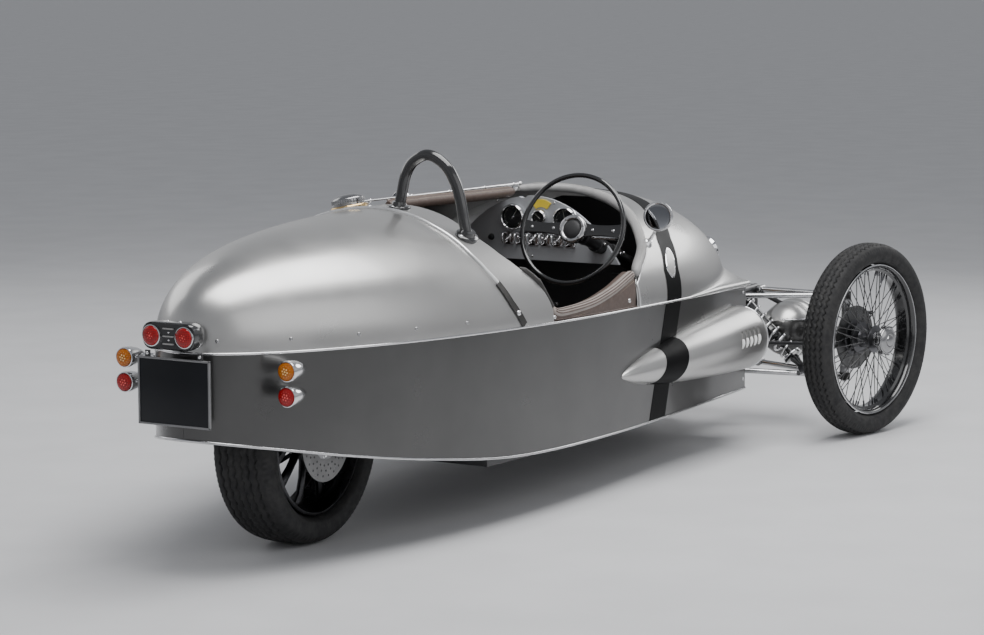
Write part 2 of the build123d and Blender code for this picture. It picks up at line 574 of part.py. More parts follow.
# tail: number plate, centre lamp pod and side lamps
plate = box(-585, -579, -114, 114, 416, 596)
plate_arm = box(-579, -500, -8, 8, 470, 560)
plate_arm -= lower_outer
out(plate + plate_arm, "number_plate")
POD_Y = -8.0
pod = box(-618, -552, POD_Y - 82, POD_Y + 82, 622, 694)
pod = fillet(pod.edges().filter_by(Axis.X), 26)
pod_stem = box(-560, -470, POD_Y - 20, POD_Y + 20, 612, 640)
pod += pod_stem
pod -= upper_outer
pod -= lower_outer
out(pod, "tail_lamp_pod")
lenses = []
for dy in (-52, 52):
    lenses.append(turned([(0, 26), (7, 25), (10, 16), (11, 0.01)], (-618, POD_Y + dy, 659), (-1, 0, 0)))
side_lamps = []
for s in (-1, 1):
    for z in (562.0, 495.0):
        b = turned([(0, 27), (6, 29), (30, 27), (62, 19), (88, 6), (92, 0.01)], (-446, s * 260, z), (1, 0, 0))
        b += tube((-400, s * 256, z), (-290, s * 235, z), 7)
        side_lamps.append(b - lower_outer)
        lenses.append(turned([(0, 24.5), (6, 23), (9, 14), (10, 0.01)], (-446, s * 260, z), (-1, 0, 0)))
out(group(side_lamps), "side_lamps")
out(group(lenses), "tail_lenses")

# side nacelles: long torpedo half sunk in the side panel, open in front
NAC = ((0, 1.0), (37, 19), (140, 43), (288, 63), (437, 78.5), (586, 90), (744, 100.5), (865, 107), (893, 108), (907, 104.5))  # distance from the tip, radius
NAC_TIP, NAC_END = Vector(1102, 468, 350), Vector(2009, 468, 363)
nacelles = []
for s in (-1, 1):
    a = Vector(NAC_TIP.X, s * NAC_TIP.Y, NAC_TIP.Z)
    b = Vector(NAC_END.X, s * NAC_END.Y, NAC_END.Z)
    torpedo = turned([(h, r) for h, r in NAC], tuple(a), tuple(b - a))
    bore = turned([(520, 67), (707, 88), (908, 99.5)], tuple(a), tuple(b - a))
    nac = torpedo - bore - lower_outer
    nacelles.append(nac)
out(group(nacelles), "nacelles")

# headlamps low beside the nose
lamps, glasses = [], []
for s in (-1, 1):
    c = (2490.0, s * 440.0, 328.0)
    lamp = turned([(-70, 0.01), (-68, 22), (-52, 60), (-22, 86), (20, 97), (70, 100), (76, 104), (88, 103), (88, 92), (80, 90)], c, (1, 0, 0))
    glass = turned([(80.2, 89.5), (92, 84), (99, 50), (101, 0.01)], c, (1, 0, 0))
    bracket = tube((2536, s * (FR_Y + 8), 440), (2536, s * 400, 400), 8)
    lamps.append(lamp + (bracket - frame))
    glasses.append(glass)
# third lamp, offset to the right in the bonnet's front
c3, d3 = (2300.0, -202.0, 622.0), (0.9, -0.38, 0.15)
lamp3 = turned([(-20, 40), (8, 46), (14, 51), (24, 50), (26, 44), (19, 40)], c3, d3)
glass3 = turned([(19.2, 39.5), (27, 35), (33, 19), (34.5, 0.01)], c3, d3)
lamps.append(lamp3 - upper_outer)
glasses.append(glass3 - upper_outer)
out(group(lamps), "headlamps")
out(group(glasses), "headlamp_glasses")

# -------------------------------------------------------------------- rear wheel
R_Z = R_TYRE_R
out(tyre(R_TYRE_R, R_TYRE_W, R_RIM_R + 7.5, 1, 0, 0, R_Z), "rear_tyre")
rear_rim = rim(R_RIM_R, R_RIM_W, 26, 1, 0, 0, R_Z)
web = turned([(-12, 196), (-12, 60), (-18, 60), (-18, 30), (18, 30), (18, 60), (0, 60), (0, 196)], (0, -14, R_Z), (0, 1, 0))
AXLE_R = 12.0
rear_hub = turned([(-86, 44), (-70, 50), (70, 50), (86, 44)], (0, 0, R_Z), (0, 1, 0))
rear_hub -= tube((0, -120, R_Z), (0, 120, R_Z), AXLE_R + 0.05)
web = tube((0, -30, R_Z), (0, -16, R_Z), 190)
for k in range(8):
    a = radians(45 * k + 10)
    web -= tube((132 * cos(a), -60, R_Z + 132 * sin(a)), (132 * cos(a), 20, R_Z + 132 * sin(a)), 28)
web -= tube((0, -120, R_Z), (0, 120, R_Z), 50)
out(rear_rim + web, "rear_rim")
PULLEY_R, MOTOR_PULLEY_R = 104.0, 36.0
pulley = tube((0, 88, R_Z), (0, 94, R_Z), PULLEY_R - 20) + tube((0, 92, R_Z), (0, 114, R_Z), PULLEY_R, PULLEY_R - 14)
disc = tube((0, -96, R_Z), (0, -90, R_Z), 125, 58) + tube((0, -96, R_Z), (0, -86, R_Z), 62)
rear_hub = rear_hub - tube((0, -120, R_Z), (0, 120, R_Z), AXLE_R + 0.05)
rear_hub = rear_hub + tube((0, 84, R_Z), (0, 90, R_Z), 60) + pulley + tube((0, 88, R_Z), (0, 94, R_Z), PULLEY_R - 10) + disc
rear_hub -= tube((0, -130, R_Z), (0, 130, R_Z), AXLE_R + 0.05)
out(rear_hub, "rear_hub")

# swing arm with its axle, pivoting ahead of the wheel
PIVOT = (398.0 - 60.0, 0.0, 262.0)
swing = tube((0, -168, R_Z), (0, 168, R_Z), AXLE_R)
for s in (-1, 1):
    swing += tube((-20, s * 152, R_Z), (PIVOT[0], s * 152, PIVOT[2]), 17)
    swing += tube((0, s * 138, R_Z), (0, s * 166, R_Z), 30)
swing += tube((PIVOT[0], -185, PIVOT[2]), (PIVOT[0], 185, PIVOT[2]), 22)
out(swing, "swing_arm")
rear_damp = []
for s in (-1, 1):
    a, b = Vector(150, s * 152, 292 + 22), Vector(330, s * 162, 560)
    d = (b - a).normalized()
    dm = tube(tuple(a), tuple(b), 9) + tube(tuple(a + d * 90), tuple(b - d * 10), 20) + tube(tuple(a + d * 40), tuple(b - d * 40), 30, 22) + tube(tuple(a + d * 34), tuple(a + d * 42), 33) + tube(tuple(b - d * 42), tuple(b - d * 34), 33)
    rear_damp.append(dm - swing)
out(group(rear_damp), "rear_dampers")
MOTOR = (488.0, 0.0, 322.0)
motor = tube((MOTOR[0], -150, MOTOR[2]), (MOTOR[0], 80, MOTOR[2]), 92) + tube((MOTOR[0], 60, MOTOR[2]), (MOTOR[0], BELT_Y1 - 2, MOTOR[2]), MOTOR_PULLEY_R)
motor += box(MOTOR[0] - 60, MOTOR[0] + 60, -130, 70, FLOOR_Z1, MOTOR[2])
out(motor, "drive_motor")
battery = box(1790, 2085, -300, 300, FLOOR_Z1, 560)
out(battery, "battery_pack")
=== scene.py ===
import bpy
import bmesh
import numpy as np
from math import sin, cos, pi, radians, sqrt, hypot, tau, acos, asin, atan2
from mathutils import Vector, Matrix


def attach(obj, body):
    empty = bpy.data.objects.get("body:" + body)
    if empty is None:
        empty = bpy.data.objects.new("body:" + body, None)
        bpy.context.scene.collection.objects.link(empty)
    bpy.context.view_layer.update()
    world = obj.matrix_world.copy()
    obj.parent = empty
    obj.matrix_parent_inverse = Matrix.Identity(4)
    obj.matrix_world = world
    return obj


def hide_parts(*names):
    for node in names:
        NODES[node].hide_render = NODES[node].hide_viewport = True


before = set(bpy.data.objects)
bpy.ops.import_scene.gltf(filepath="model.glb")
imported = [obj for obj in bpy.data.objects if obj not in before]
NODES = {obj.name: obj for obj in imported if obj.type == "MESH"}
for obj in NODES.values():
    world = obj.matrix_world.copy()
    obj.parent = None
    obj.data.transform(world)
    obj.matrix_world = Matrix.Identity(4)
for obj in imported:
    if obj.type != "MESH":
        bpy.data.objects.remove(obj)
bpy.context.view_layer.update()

CX = 1.0684                       # rear axle to the model's origin

# ------------------------------------------------------------------ camera, light
cam_data = bpy.data.cameras.new("camera")
cam = bpy.data.objects.new("camera", cam_data)
bpy.context.scene.collection.objects.link(cam)
cam_data.sensor_width = 36.0
cam_data.lens = 96.128
cam.location = (-6.0924 - CX, -3.9788, 1.6060)
cam.rotation_euler = (radians(90 - 7.624), 0.0, radians(28.853 - 90))
cam_data.clip_start, cam_data.clip_end = 0.1, 900
bpy.context.scene.camera = cam

world = bpy.data.worlds.new("studio")
bpy.context.scene.world = world
world.use_nodes = True
wn, wl = world.node_tree.nodes, world.node_tree.links
bg = wn["Background"]
tc = wn.new("ShaderNodeTexCoord")
sep = wn.new("ShaderNodeSeparateXYZ")
ramp = wn.new("ShaderNodeValToRGB")
wl.new(tc.outputs["Generated"], sep.inputs[0])
wl.new(sep.outputs["Z"], ramp.inputs[0])
cr = ramp.color_ramp
cr.elements[0].position, cr.elements[0].color = 0.0, (0.42, 0.42, 0.43, 1)
cr.elements[1].position, cr.elements[1].color = 0.75, (0.30, 0.31, 0.33, 1)
e = cr.elements.new(0.18); e.color = (0.50, 0.51, 0.53, 1)
wl.new(ramp.outputs[0], bg.inputs["Color"])
bg.inputs["Strength"].default_value = 0.95


def area(name, loc, target, size, power, size_y=None):
    ld = bpy.data.lights.new(name, "AREA")
    ld.energy = power
    ld.shape = "RECTANGLE"
    ld.size, ld.size_y = size, size_y or size
    o = bpy.data.objects.new(name, ld)
    bpy.context.scene.collection.objects.link(o)
    o.location = loc
    o.rotation_euler = (Vector(target) - Vector(loc)).to_track_quat("-Z", "Y").to_euler()
    return o


area("top_strip", (-0.3, -1.0, 4.2), (-0.2, 0.0, 0.5), 4.8, 210, 2.3)
area("right_box", (-0.9, -5.2, 3.2), (-0.2, 0.0, 0.6), 7.0, 60, 3.0)
area("left_box", (0.5, 4.8, 3.0), (0.0, 0.0, 0.5), 4.0, 50, 3.0)
area("front_box", (4.8, -1.2, 2.6), (0.6, 0.0, 0.5), 2.4, 45, 1.6)


# ---------------------------------------------------------------------- materials
class Mat:
    """A node material: a principled shader with helpers for bump and variation."""

    def __init__(self, name, base, rough, metallic=0.0, **const):
        self.m = bpy.data.materials.new(name)
        self.m.use_nodes = True
        self.n, self.l = self.m.node_tree.nodes, self.m.node_tree.links
        self.b = self.n["Principled BSDF"]
        self.b.inputs["Base Color"].default_value = (*base, 1)
        self.b.inputs["Roughness"].default_value = rough
        self.b.inputs["Metallic"].default_value = metallic
        for k, v in const.items():
            self.b.inputs[k.replace("_", " ")].default_value = v
        self.base, self.rough = base, rough
        self.tc = self.n.new("ShaderNodeTexCoord")
        self.last = None

    def noise(self, scale, detail=3.0, rough=0.5, stretch=None):
        t = self.n.new("ShaderNodeTexNoise")
        t.inputs["Scale"].default_value = scale
        t.inputs["Detail"].default_value = detail
        t.inputs["Roughness"].default_value = rough
        if stretch:
            mp = self.n.new("ShaderNodeMapping")
            mp.inputs["Scale"].default_value = stretch
            self.l.new(self.tc.outputs["Object"], mp.inputs[0])
            self.l.new(mp.outputs[0], t.inputs["Vector"])
        else:
            self.l.new(self.tc.outputs["Object"], t.inputs["Vector"])
        return t.outputs["Fac"]

    def cells(self, scale, feature="F1", randomness=1.0):
        t = self.n.new("ShaderNodeTexVoronoi")
        t.feature = feature
        t.inputs["Scale"].default_value = scale
        t.inputs["Randomness"].default_value = randomness
        self.l.new(self.tc.outputs["Object"], t.inputs["Vector"])
        return t.outputs["Distance"]

    def wave(self, scale, direction="X", distortion=0.0):
        t = self.n.new("ShaderNodeTexWave")
        t.bands_direction = direction
        t.inputs["Scale"].default_value = scale
        t.inputs["Distortion"].default_value = distortion
        self.l.new(self.tc.outputs["Object"], t.inputs["Vector"])
        return t.outputs["Fac"]

    def span(self, value, lo, hi, a=0.3, b=0.7):
        t = self.n.new("ShaderNodeMapRange")
        t.inputs["From Min"].default_value = a
        t.inputs["From Max"].default_value = b
        t.inputs["To Min"].default_value = lo
        t.inputs["To Max"].default_value = hi
        self.l.new(value, t.inputs["Value"])
        return t.outputs[0]

    def colour(self, value, c0, c1, a=0.35, b=0.65):
        t = self.n.new("ShaderNodeValToRGB")
        t.color_ramp.elements[0].position, t.color_ramp.elements[0].color = a, (*c0, 1)
        t.color_ramp.elements[1].position, t.color_ramp.elements[1].color = b, (*c1, 1)
        self.l.new(value, t.inputs[0])
        self.l.new(t.outputs[0], self.b.inputs["Base Color"])
        return t.outputs[0]

    def roughness(self, value, lo, hi):
        self.l.new(self.span(value, lo, hi), self.b.inputs["Roughness"])

    def bump(self, value, strength, distance=0.001):
        t = self.n.new("ShaderNodeBump")
        t.inputs["Strength"].default_value = strength
        t.inputs["Distance"].default_value = distance
        self.l.new(value, t.inputs["Height"])
        if self.last:
            self.l.new(self.last, t.inputs["Normal"])
        self.l.new(t.outputs[0], self.b.inputs["Normal"])
        self.last = t.outputs[0]
        return self


def paint(name, c0, c1, rough, metallic, coat=0.5, flake=0.03):
    m = Mat(name, c0, rough, metallic, Coat_Weight=coat, Coat_Roughness=0.10)
    m.colour(m.noise(3.0, 4.0), c0, c1)
    m.roughness(m.noise(7.0, 5.0), rough - 0.03, rough + 0.04)
    m.bump(m.noise(1500.0, 1.0), flake, 0.0004)
    m.bump(m.noise(2.2, 1.0), 0.03, 0.002)
    return m.m


def metal(name, base, rough, spread=0.05, brushed=None, scale=30.0, bump=0.04):
    m = Mat(name, base, rough, 1.0)
    dark = tuple(x * 0.82 for x in base)
    m.colour(m.noise(scale * 0.5, 4.0), dark, base)
    m.roughness(m.noise(scale, 5.0), max(0.02, rough - spread), rough + spread)
    if brushed:
        m.bump(m.noise(220.0, 3.0, stretch=brushed), 0.10, 0.0004)
    m.bump(m.noise(scale * 8, 3.0), bump, 0.0005)
    return m.m


def leather(name, c0, c1, rough=0.48):
    m = Mat(name, c0, rough, 0.0, Coat_Weight=0.12, Coat_Roughness=0.35, Specular_IOR_Level=0.45)
    m.colour(m.noise(26.0, 6.0, 0.6), c0, c1, 0.3, 0.7)
    m.roughness(m.noise(90.0, 4.0), rough - 0.08, rough + 0.14)
    m.bump(m.cells(420.0), 0.34, 0.0008)
    m.bump(m.noise(900.0, 3.0), 0.14, 0.0004)
    m.bump(m.noise(38.0, 4.0), 0.22, 0.0022)
    return m.m


def rubber(name, c0, c1, rough=0.72):
    m = Mat(name, c0, rough, 0.0, Specular_IOR_Level=0.35)
    m.colour(m.noise(42.0, 6.0, 0.65), c0, c1, 0.38, 0.72)
    m.roughness(m.noise(60.0, 5.0), rough - 0.12, rough + 0.10)
    m.bump(m.noise(520.0, 4.0), 0.16, 0.0006)
    return m.m


def plastic(name, c0, c1, rough, grain=500.0, bump=0.1, **const):
    m = Mat(name, c0, rough, 0.0, **const)
    m.colour(m.noise(18.0, 4.0), c0, c1)
    m.roughness(m.noise(50.0, 4.0), rough - 0.05, rough + 0.06)
    m.bump(m.noise(grain, 3.0), bump, 0.0004)
    return m.m


def lens(name, c0, c1, cells=260.0):
    m = Mat(name, c0, 0.12, 0.0, Transmission_Weight=0.25, IOR=1.42, Coat_Weight=0.25, Coat_Roughness=0.05)
    m.colour(m.cells(cells, "F1", 0.15), c1, c0, 0.0, 0.55)
    m.bump(m.cells(cells, "F1", 0.15), 0.55, 0.0012)
    return m.m


M = {
    "silver": paint("body_silver", (0.50, 0.495, 0.485), (0.545, 0.54, 0.53), 0.30, 0.92, 0.35, 0.05),
    # dark lower-body paint: partly a real two-tone, partly painted shade for the dark surroundings that the lower
    # flanks reflect
    "lower": paint("body_lower", (0.092, 0.091, 0.090), (0.112, 0.111, 0.109), 0.30, 0.90, 0.45, 0.05),
    "stripe": paint("stripe_black", (0.0025, 0.0025, 0.0028), (0.0045, 0.0045, 0.0048), 0.42, 0.0, 0.0, 0.0),
    "black": paint("black_paint", (0.020, 0.020, 0.022), (0.032, 0.032, 0.034), 0.36, 0.0, 0.25, 0.05),
    "gloss": paint("gloss_black", (0.010, 0.010, 0.011), (0.016, 0.016, 0.017), 0.12, 0.0, 0.9, 0.0),
    "chrome": metal("chrome", (0.86, 0.86, 0.87), 0.07, 0.03, None, 14.0, 0.01),
    "steel": metal("polished_steel", (0.66, 0.66, 0.67), 0.20, 0.05, (1, 30, 30), 40.0),
    "dark_steel": metal("dark_steel", (0.16, 0.16, 0.17), 0.34, 0.07, None, 40.0),
    "alloy": metal("cast_alloy", (0.50, 0.50, 0.51), 0.42, 0.08, None, 70.0, 0.25),
    "disc": metal("brake_disc", (0.20, 0.20, 0.20), 0.32, 0.06, (1, 1, 40), 60.0),
    "brass": metal("brass_fins", (0.78, 0.56, 0.27), 0.22, 0.07, (30, 30, 1), 30.0),
    "dash": paint("dash_plate", (0.46, 0.475, 0.50), (0.52, 0.535, 0.56), 0.38, 0.30, 0.1, 0.1),
    "plastic": plastic("black_plastic", (0.022, 0.022, 0.023), (0.034, 0.034, 0.036), 0.55),
    "carpet": None,
    "brown": leather("leather_brown", (0.088, 0.062, 0.051), (0.124, 0.089, 0.074)),
    "brown_pale": leather("leather_brown_pale", (0.300, 0.262, 0.238), (0.365, 0.322, 0.296), 0.42),
    "grey_leather": leather("leather_grey", (0.30, 0.295, 0.29), (0.37, 0.365, 0.36), 0.42),
    "black_leather": leather("leather_black", (0.018, 0.017, 0.016), (0.035, 0.032, 0.030), 0.46),
    "thread": plastic("thread", (0.42, 0.34, 0.26), (0.50, 0.42, 0.33), 0.7, 1400.0, 0.4),
    "tyre": rubber("tyre_rubber", (0.020, 0.020, 0.021), (0.040, 0.039, 0.038)),
    "hose": rubber("rubber_parts", (0.018, 0.018, 0.018), (0.030, 0.030, 0.030), 0.6),
    "red": lens("lens_red", (0.50, 0.004, 0.006), (0.16, 0.001, 0.0015), 190.0),
    "amber": lens("lens_amber", (0.72, 0.20, 0.006), (0.28, 0.065, 0.002), 190.0),
    "red_spot": plastic("lens_red_spot", (0.85, 0.10, 0.09), (0.92, 0.16, 0.14), 0.2),
    "amber_spot": plastic("lens_amber_spot", (0.95, 0.62, 0.20), (0.98, 0.70, 0.28), 0.2),
    "white_lens": lens("lens_white", (0.78, 0.80, 0.82), (0.55, 0.57, 0.60)),
    "dial": plastic("dial_black", (0.012, 0.012, 0.013), (0.02, 0.02, 0.021), 0.5),
    "ivory": plastic("dial_marks", (0.72, 0.70, 0.62), (0.78, 0.76, 0.68), 0.5),
    "yellow": plastic("yellow_plate", (0.88, 0.66, 0.06), (0.94, 0.72, 0.09), 0.35),
    "satin": metal("satin_steel", (0.40, 0.40, 0.405), 0.17, 0.05, None, 30.0, 0.02),
    "bead": metal("bead_bright", (0.97, 0.97, 0.97), 0.34, 0.04, None, 14.0, 0.0),
    "vane": plastic("vane_pale", (0.84, 0.84, 0.83), (0.90, 0.90, 0.89), 0.30),
    "rim_dark": metal("rim_dark", (0.055, 0.055, 0.058), 0.30, 0.05, None, 40.0),
    "plate": paint("plate_black", (0.006, 0.007, 0.010), (0.010, 0.011, 0.014), 0.34, 0.0, 0.06, 0.0),
    "grey_trim": plastic("grey_trim", (0.20, 0.20, 0.205), (0.24, 0.24, 0.245), 0.4),
}
c = Mat("carpet_black", (0.02, 0.019, 0.018), 0.95, 0.0, Sheen_Weight=0.25, Sheen_Roughness=0.5)
c.colour(c.noise(420.0, 4.0), (0.012, 0.012, 0.012), (0.045, 0.043, 0.040), 0.3, 0.7)
c.bump(c.noise(650.0, 4.0), 0.8, 0.003)
M["carpet"] = c.m
g = Mat("lamp_glass", (0.93, 0.96, 0.98), 0.03, 0.0, Transmission_Weight=1.0, IOR=1.46)
g.colour(g.noise(8.0), (0.92, 0.95, 0.97), (0.97, 0.98, 0.99))
g.bump(g.wave(38.0, "Y"), 0.10, 0.001)
M["glass"] = g.m
g = Mat("mirror_glass", (0.30, 0.31, 0.33), 0.03, 1.0)
g.colour(g.noise(5.0), (0.27, 0.28, 0.30), (0.33, 0.34, 0.36))
g.roughness(g.noise(20.0), 0.02, 0.05)
M["mirror"] = g.m


M["stripe"].node_tree.nodes["Principled BSDF"].inputs["Specular IOR Level"].default_value = 0.07
M["plate"].node_tree.nodes["Principled BSDF"].inputs["Specular IOR Level"].default_value = 0.22


# ------------------------------------------------------------------ mesh building
class Geo:
    """Collects vertices, faces and each face's material."""

    def __init__(self):
        self.v, self.f, self.m = [], [], []

    def add(self, vf, m=0):
        v, f = vf
        o = len(self.v)
        self.v.extend([tuple(p) for p in v])
        self.f.extend([tuple(i + o for i in q) for q in f])
        self.m.extend([m] * len(f))
        return self


def V3(p):
    return np.array(p, float)


def frames(d):
    d = V3(d) / np.linalg.norm(d)
    u = np.cross(d, (0, 0, 1.0))
    if np.linalg.norm(u) < 0.1:
        u = np.cross(d, (0, 1.0, 0))
    u /= np.linalg.norm(u)
    return d, u, np.cross(d, u)


def lathe(prof, c, axis, n=48, loop=False, caps=True):
    """Turned body: prof is (distance along the axis, radius) pairs; loop joins the last pair to the first."""
    d, u, w = frames(axis)
    c = V3(c)
    v, rings = [], []
    for h, r in prof:
        if r < 1e-6:
            rings.append([len(v)])
            v.append(c + d * h)
        else:
            rings.append(list(range(len(v), len(v) + n)))
            for k in range(n):
                a = tau * k / n
                v.append(c + d * h + (u * cos(a) + w * sin(a)) * r)
    f = []
    pairs = list(zip(rings[:-1], rings[1:])) + ([(rings[-1], rings[0])] if loop else [])
    for a, b in pairs:
        for k in range(n):
            k2 = (k + 1) % n
            if len(a) == 1 and len(b) == 1:
                break
            if len(a) == 1:
                f.append((a[0], b[k2], b[k]))
            elif len(b) == 1:
                f.append((a[k], a[k2], b[0]))
            else:
                f.append((a[k], a[k2], b[k2], b[k]))
    if not loop and caps:
        if len(rings[0]) > 1:
            f.append(tuple(reversed(rings[0])))
        if len(rings[-1]) > 1:
            f.append(tuple(rings[-1]))
    return v, f


def smooth_path(pts, per=8, closed=False):
    """Catmull-Rom points through pts."""
    p = [V3(q) for q in pts]
    n = len(p)
    out = []
    for i in range(n if closed else n - 1):
        p1, p2 = p[i], p[(i + 1) % n]
        p0 = p[i - 1] if (closed or i > 0) else 2 * p1 - p2
        p3 = p[(i + 2) % n] if (closed or i + 2 < n) else 2 * p2 - p1
        for k in range(per):
            t = k / per
            out.append(0.5 * ((2 * p1) + (p2 - p0) * t + (2 * p0 - 5 * p1 + 4 * p2 - p3) * t * t + (3 * p1 - p0 - 3 * p2 + p3) * t ** 3))
    if not closed:
        out.append(p[-1])
    return out


def sweep(pts, r, n=12, closed=False, section=None, up=None, caps=True):
    """Round (or given) section along a line of points. section is a list of (side, up) offsets."""
    p = [V3(q) for q in pts]
    m = len(p)
    t = []
    for i in range(m):
        a = p[(i - 1) % m] if closed or i > 0 else p[i]
        b = p[(i + 1) % m] if closed or i < m - 1 else p[i]
        d = b - a
        t.append(d / (np.linalg.norm(d) + 1e-12))
    d, u, w = frames(t[0])
    us = []
    for i in range(m):
        if up is not None:
            upv = V3(up[i]) if hasattr(up[0], "__len__") else V3(up)
            u = np.cross(t[i], upv)
        else:
            u = u - t[i] * np.dot(u, t[i])
        u = u / (np.linalg.norm(u) + 1e-12)
        us.append(u)
    rs = r if hasattr(r, "__len__") else [r] * m
    if section is None:
        section = [(cos(tau * k / n), sin(tau * k / n)) for k in range(n)]
    ns = len(section)
    v, f = [], []
    for i in range(m):
        w = np.cross(us[i], t[i])
        for a, b in section:
            v.append(p[i] + us[i] * a * rs[i] + w * b * rs[i])
    for i in range(m if closed else m - 1):
        j = (i + 1) % m
        for k in range(ns):
            k2 = (k + 1) % ns
            f.append((i * ns + k, j * ns + k, j * ns + k2, i * ns + k2))
    if not closed and caps:
        f.append(tuple(range(ns)))
        f.append(tuple(reversed(range((m - 1) * ns, m * ns))))
    return v, f


def rod(a, b, r, n=14):
    return sweep([a, b], r, n)


def helix(a, b, radius, wire, turns, n=10, per=18):
    a, b = V3(a), V3(b)
    d, u, w = frames(b - a)
    L = np.linalg.norm(b - a)
    m = int(turns * per)
    pts = []
    for i in range(m + 1):
        t = i / m
        ang = tau * turns * t
        lift = L * min(1.0, max(0.0, (t * turns - 0.75) / (turns - 1.5)))
        pts.append(a + d * lift + (u * cos(ang) + w * sin(ang)) * radius)
    return sweep(pts, wire, n)


def bevelled(x0, x1, y0, y1, z0, z1, r=0.003, seg=2, turn=None, at=None):
    """Box with rounded edges; turn is a 3x3 matrix about at."""
    bm = bmesh.new()
    bmesh.ops.create_cube(bm, size=1.0)
    for q in bm.verts:
        q.co = Vector(((x0 + x1) / 2 + q.co.x * (x1 - x0), (y0 + y1) / 2 + q.co.y * (y1 - y0), (z0 + z1) / 2 + q.co.z * (z1 - z0)))
    bmesh.ops.bevel(bm, geom=list(bm.edges), offset=r, segments=seg, profile=0.5, affect="EDGES")
    bm.verts.index_update()
    v = [V3(q.co) for q in bm.verts]
    f = [tuple(x.index for x in q.verts) for q in bm.faces]
    bm.free()
    if turn is not None:
        R, a = np.array(turn, float), V3(at)
        v = [R @ (p - a) + a for p in v]
    return v, f


def hexbolt(c, axis, r=0.008, h=0.006, washer=True):
    g = Geo()
    d = V3(axis) / np.linalg.norm(axis)
    c = V3(c)
    if washer:
        g.add(lathe([(0, r * 1.35), (0.0012, r * 1.42), (0.0016, r * 1.3)], c, d, 20))
    g.add(lathe([(0.001, r), (h * 0.8, r), (h, r * 0.82), (h, 0)], c, d, 6))
    return g.v, g.f


def dome(c, axis, r=0.007, h=0.004, n=18):
    prof = [(-0.002, r * 1.05), (0.0, r)] + [(h * sin(k * pi / 10), r * cos(k * pi / 10)) for k in range(1, 5)] + [(h, 0)]
    return lathe(prof, c, axis, n)


def shell(outer, inner, closed_u=False):
    """Closed wall between two grids of points (nu x nv x 3)."""
    nu, nv = outer.shape[:2]
    v = list(outer.reshape(-1, 3)) + list(inner.reshape(-1, 3))
    o = nu * nv
    f = []

    def at(i, j):
        return (i % nu) * nv + j
    for i in range(nu if closed_u else nu - 1):
        for j in range(nv - 1):
            a, b, c2, d = at(i, j), at(i + 1, j), at(i + 1, j + 1), at(i, j + 1)
            f.append((a, b, c2, d))
            f.append((d + o, c2 + o, b + o, a + o))
    for j in (0, nv - 1):
        for i in range(nu if closed_u else nu - 1):
            a, b = at(i, j), at(i + 1, j)
            f.append((a, a + o, b + o, b) if j == 0 else (b, b + o, a + o, a))
    if not closed_u:
        for i in (0, nu - 1):
            for j in range(nv - 1):
                a, b = at(i, j), at(i, j + 1)
                f.append((b, b + o, a + o, a) if i == 0 else (a, a + o, b + o, b))
    return v, f


def steered(v, s):
    """Points of a front corner drawn straight ahead, turned to its parked angle."""
    a = -radians(12.6)
    c, n = cos(a), sin(a)
    out = []
    for p in v:
        dx, dy = p[0] - 2.42, p[1] - s * 0.69
        out.append((2.42 + dx * c - dy * n, s * 0.69 + dx * n + dy * c, p[2]))
    return out


def piece(name, geo, mats, body="chassis", replaces=(), angle=38, bevel=0.0, merge=1e-5, steer=None, seg=2):
    """Makes one object from a Geo or (verts, faces), in the rear-axle frame, and lets it ride."""
    if not isinstance(geo, Geo):
        geo = Geo().add(geo)
    verts = steered(geo.v, steer) if steer else geo.v
    me = bpy.data.meshes.new(name)
    me.from_pydata([(p[0] - CX, p[1], p[2]) for p in verts], [], geo.f)
    mats = mats if isinstance(mats, (list, tuple)) else [mats]
    for m in mats:
        me.materials.append(M[m] if isinstance(m, str) else m)
    me.polygons.foreach_set("material_index", geo.m)
    bm = bmesh.new()
    bm.from_mesh(me)
    bmesh.ops.remove_doubles(bm, verts=bm.verts, dist=merge)
    bmesh.ops.dissolve_degenerate(bm, edges=bm.edges, dist=1e-6)
    bmesh.ops.recalc_face_normals(bm, faces=bm.faces)
    bm.to_mesh(me)
    bm.free()
    me.polygons.foreach_set("use_smooth", [True] * len(me.polygons))
    me.set_sharp_from_angle(angle=radians(angle))
    me.update()
    o = bpy.data.objects.new(name, me)
    bpy.context.scene.collection.objects.link(o)
    if bevel:
        b = o.modifiers.new("edge", "BEVEL")
        b.width, b.segments, b.limit_method, b.angle_limit = bevel, seg, "ANGLE", radians(48)
        b.harden_normals = False
    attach(o, body)
    if replaces:
        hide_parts(*([replaces] if isinstance(replaces, str) else replaces))
    return o


def dress(node, mat):
    """Gives a carried-over CAD node its material."""
    o = NODES[node]
    o.data.materials.clear()
    o.data.materials.append(M[mat])


# --------------------------------------------------------------------- body forms
A_LEN, B_MAX, X_MAX, H_MAX = 1.645, 0.470, 1.100, 0.338
NOSE = ((1.100, 0.470, 0.338), (1.500, 0.468, 0.340), (1.800, 0.449, 0.328), (2.020, 0.403, 0.298), (2.180, 0.333, 0.245),
        (2.290, 0.252, 0.180), (2.360, 0.168, 0.112), (2.393, 0.085, 0.052), (2.400, 0.0, 0.0))
nose_line = np.array(smooth_path(NOSE, 40))
nose_line[:, 0] = np.maximum.accumulate(nose_line[:, 0])
NOSE_X = 2.400


def mould(x):
    return 0.589 - 0.030 * x


def plan(x, t=0.0):
    """Half width of the lower body at x, inset by t."""
    if x <= X_MAX:
        q = min(1.0, max(0.0, (X_MAX - x) / (A_LEN - t)))
        return (B_MAX - t) * sqrt(max(0.0, 1 - q * q))
    q = (x - X_MAX) / 1.015
    return 0.470 - 0.024 * q * q - t


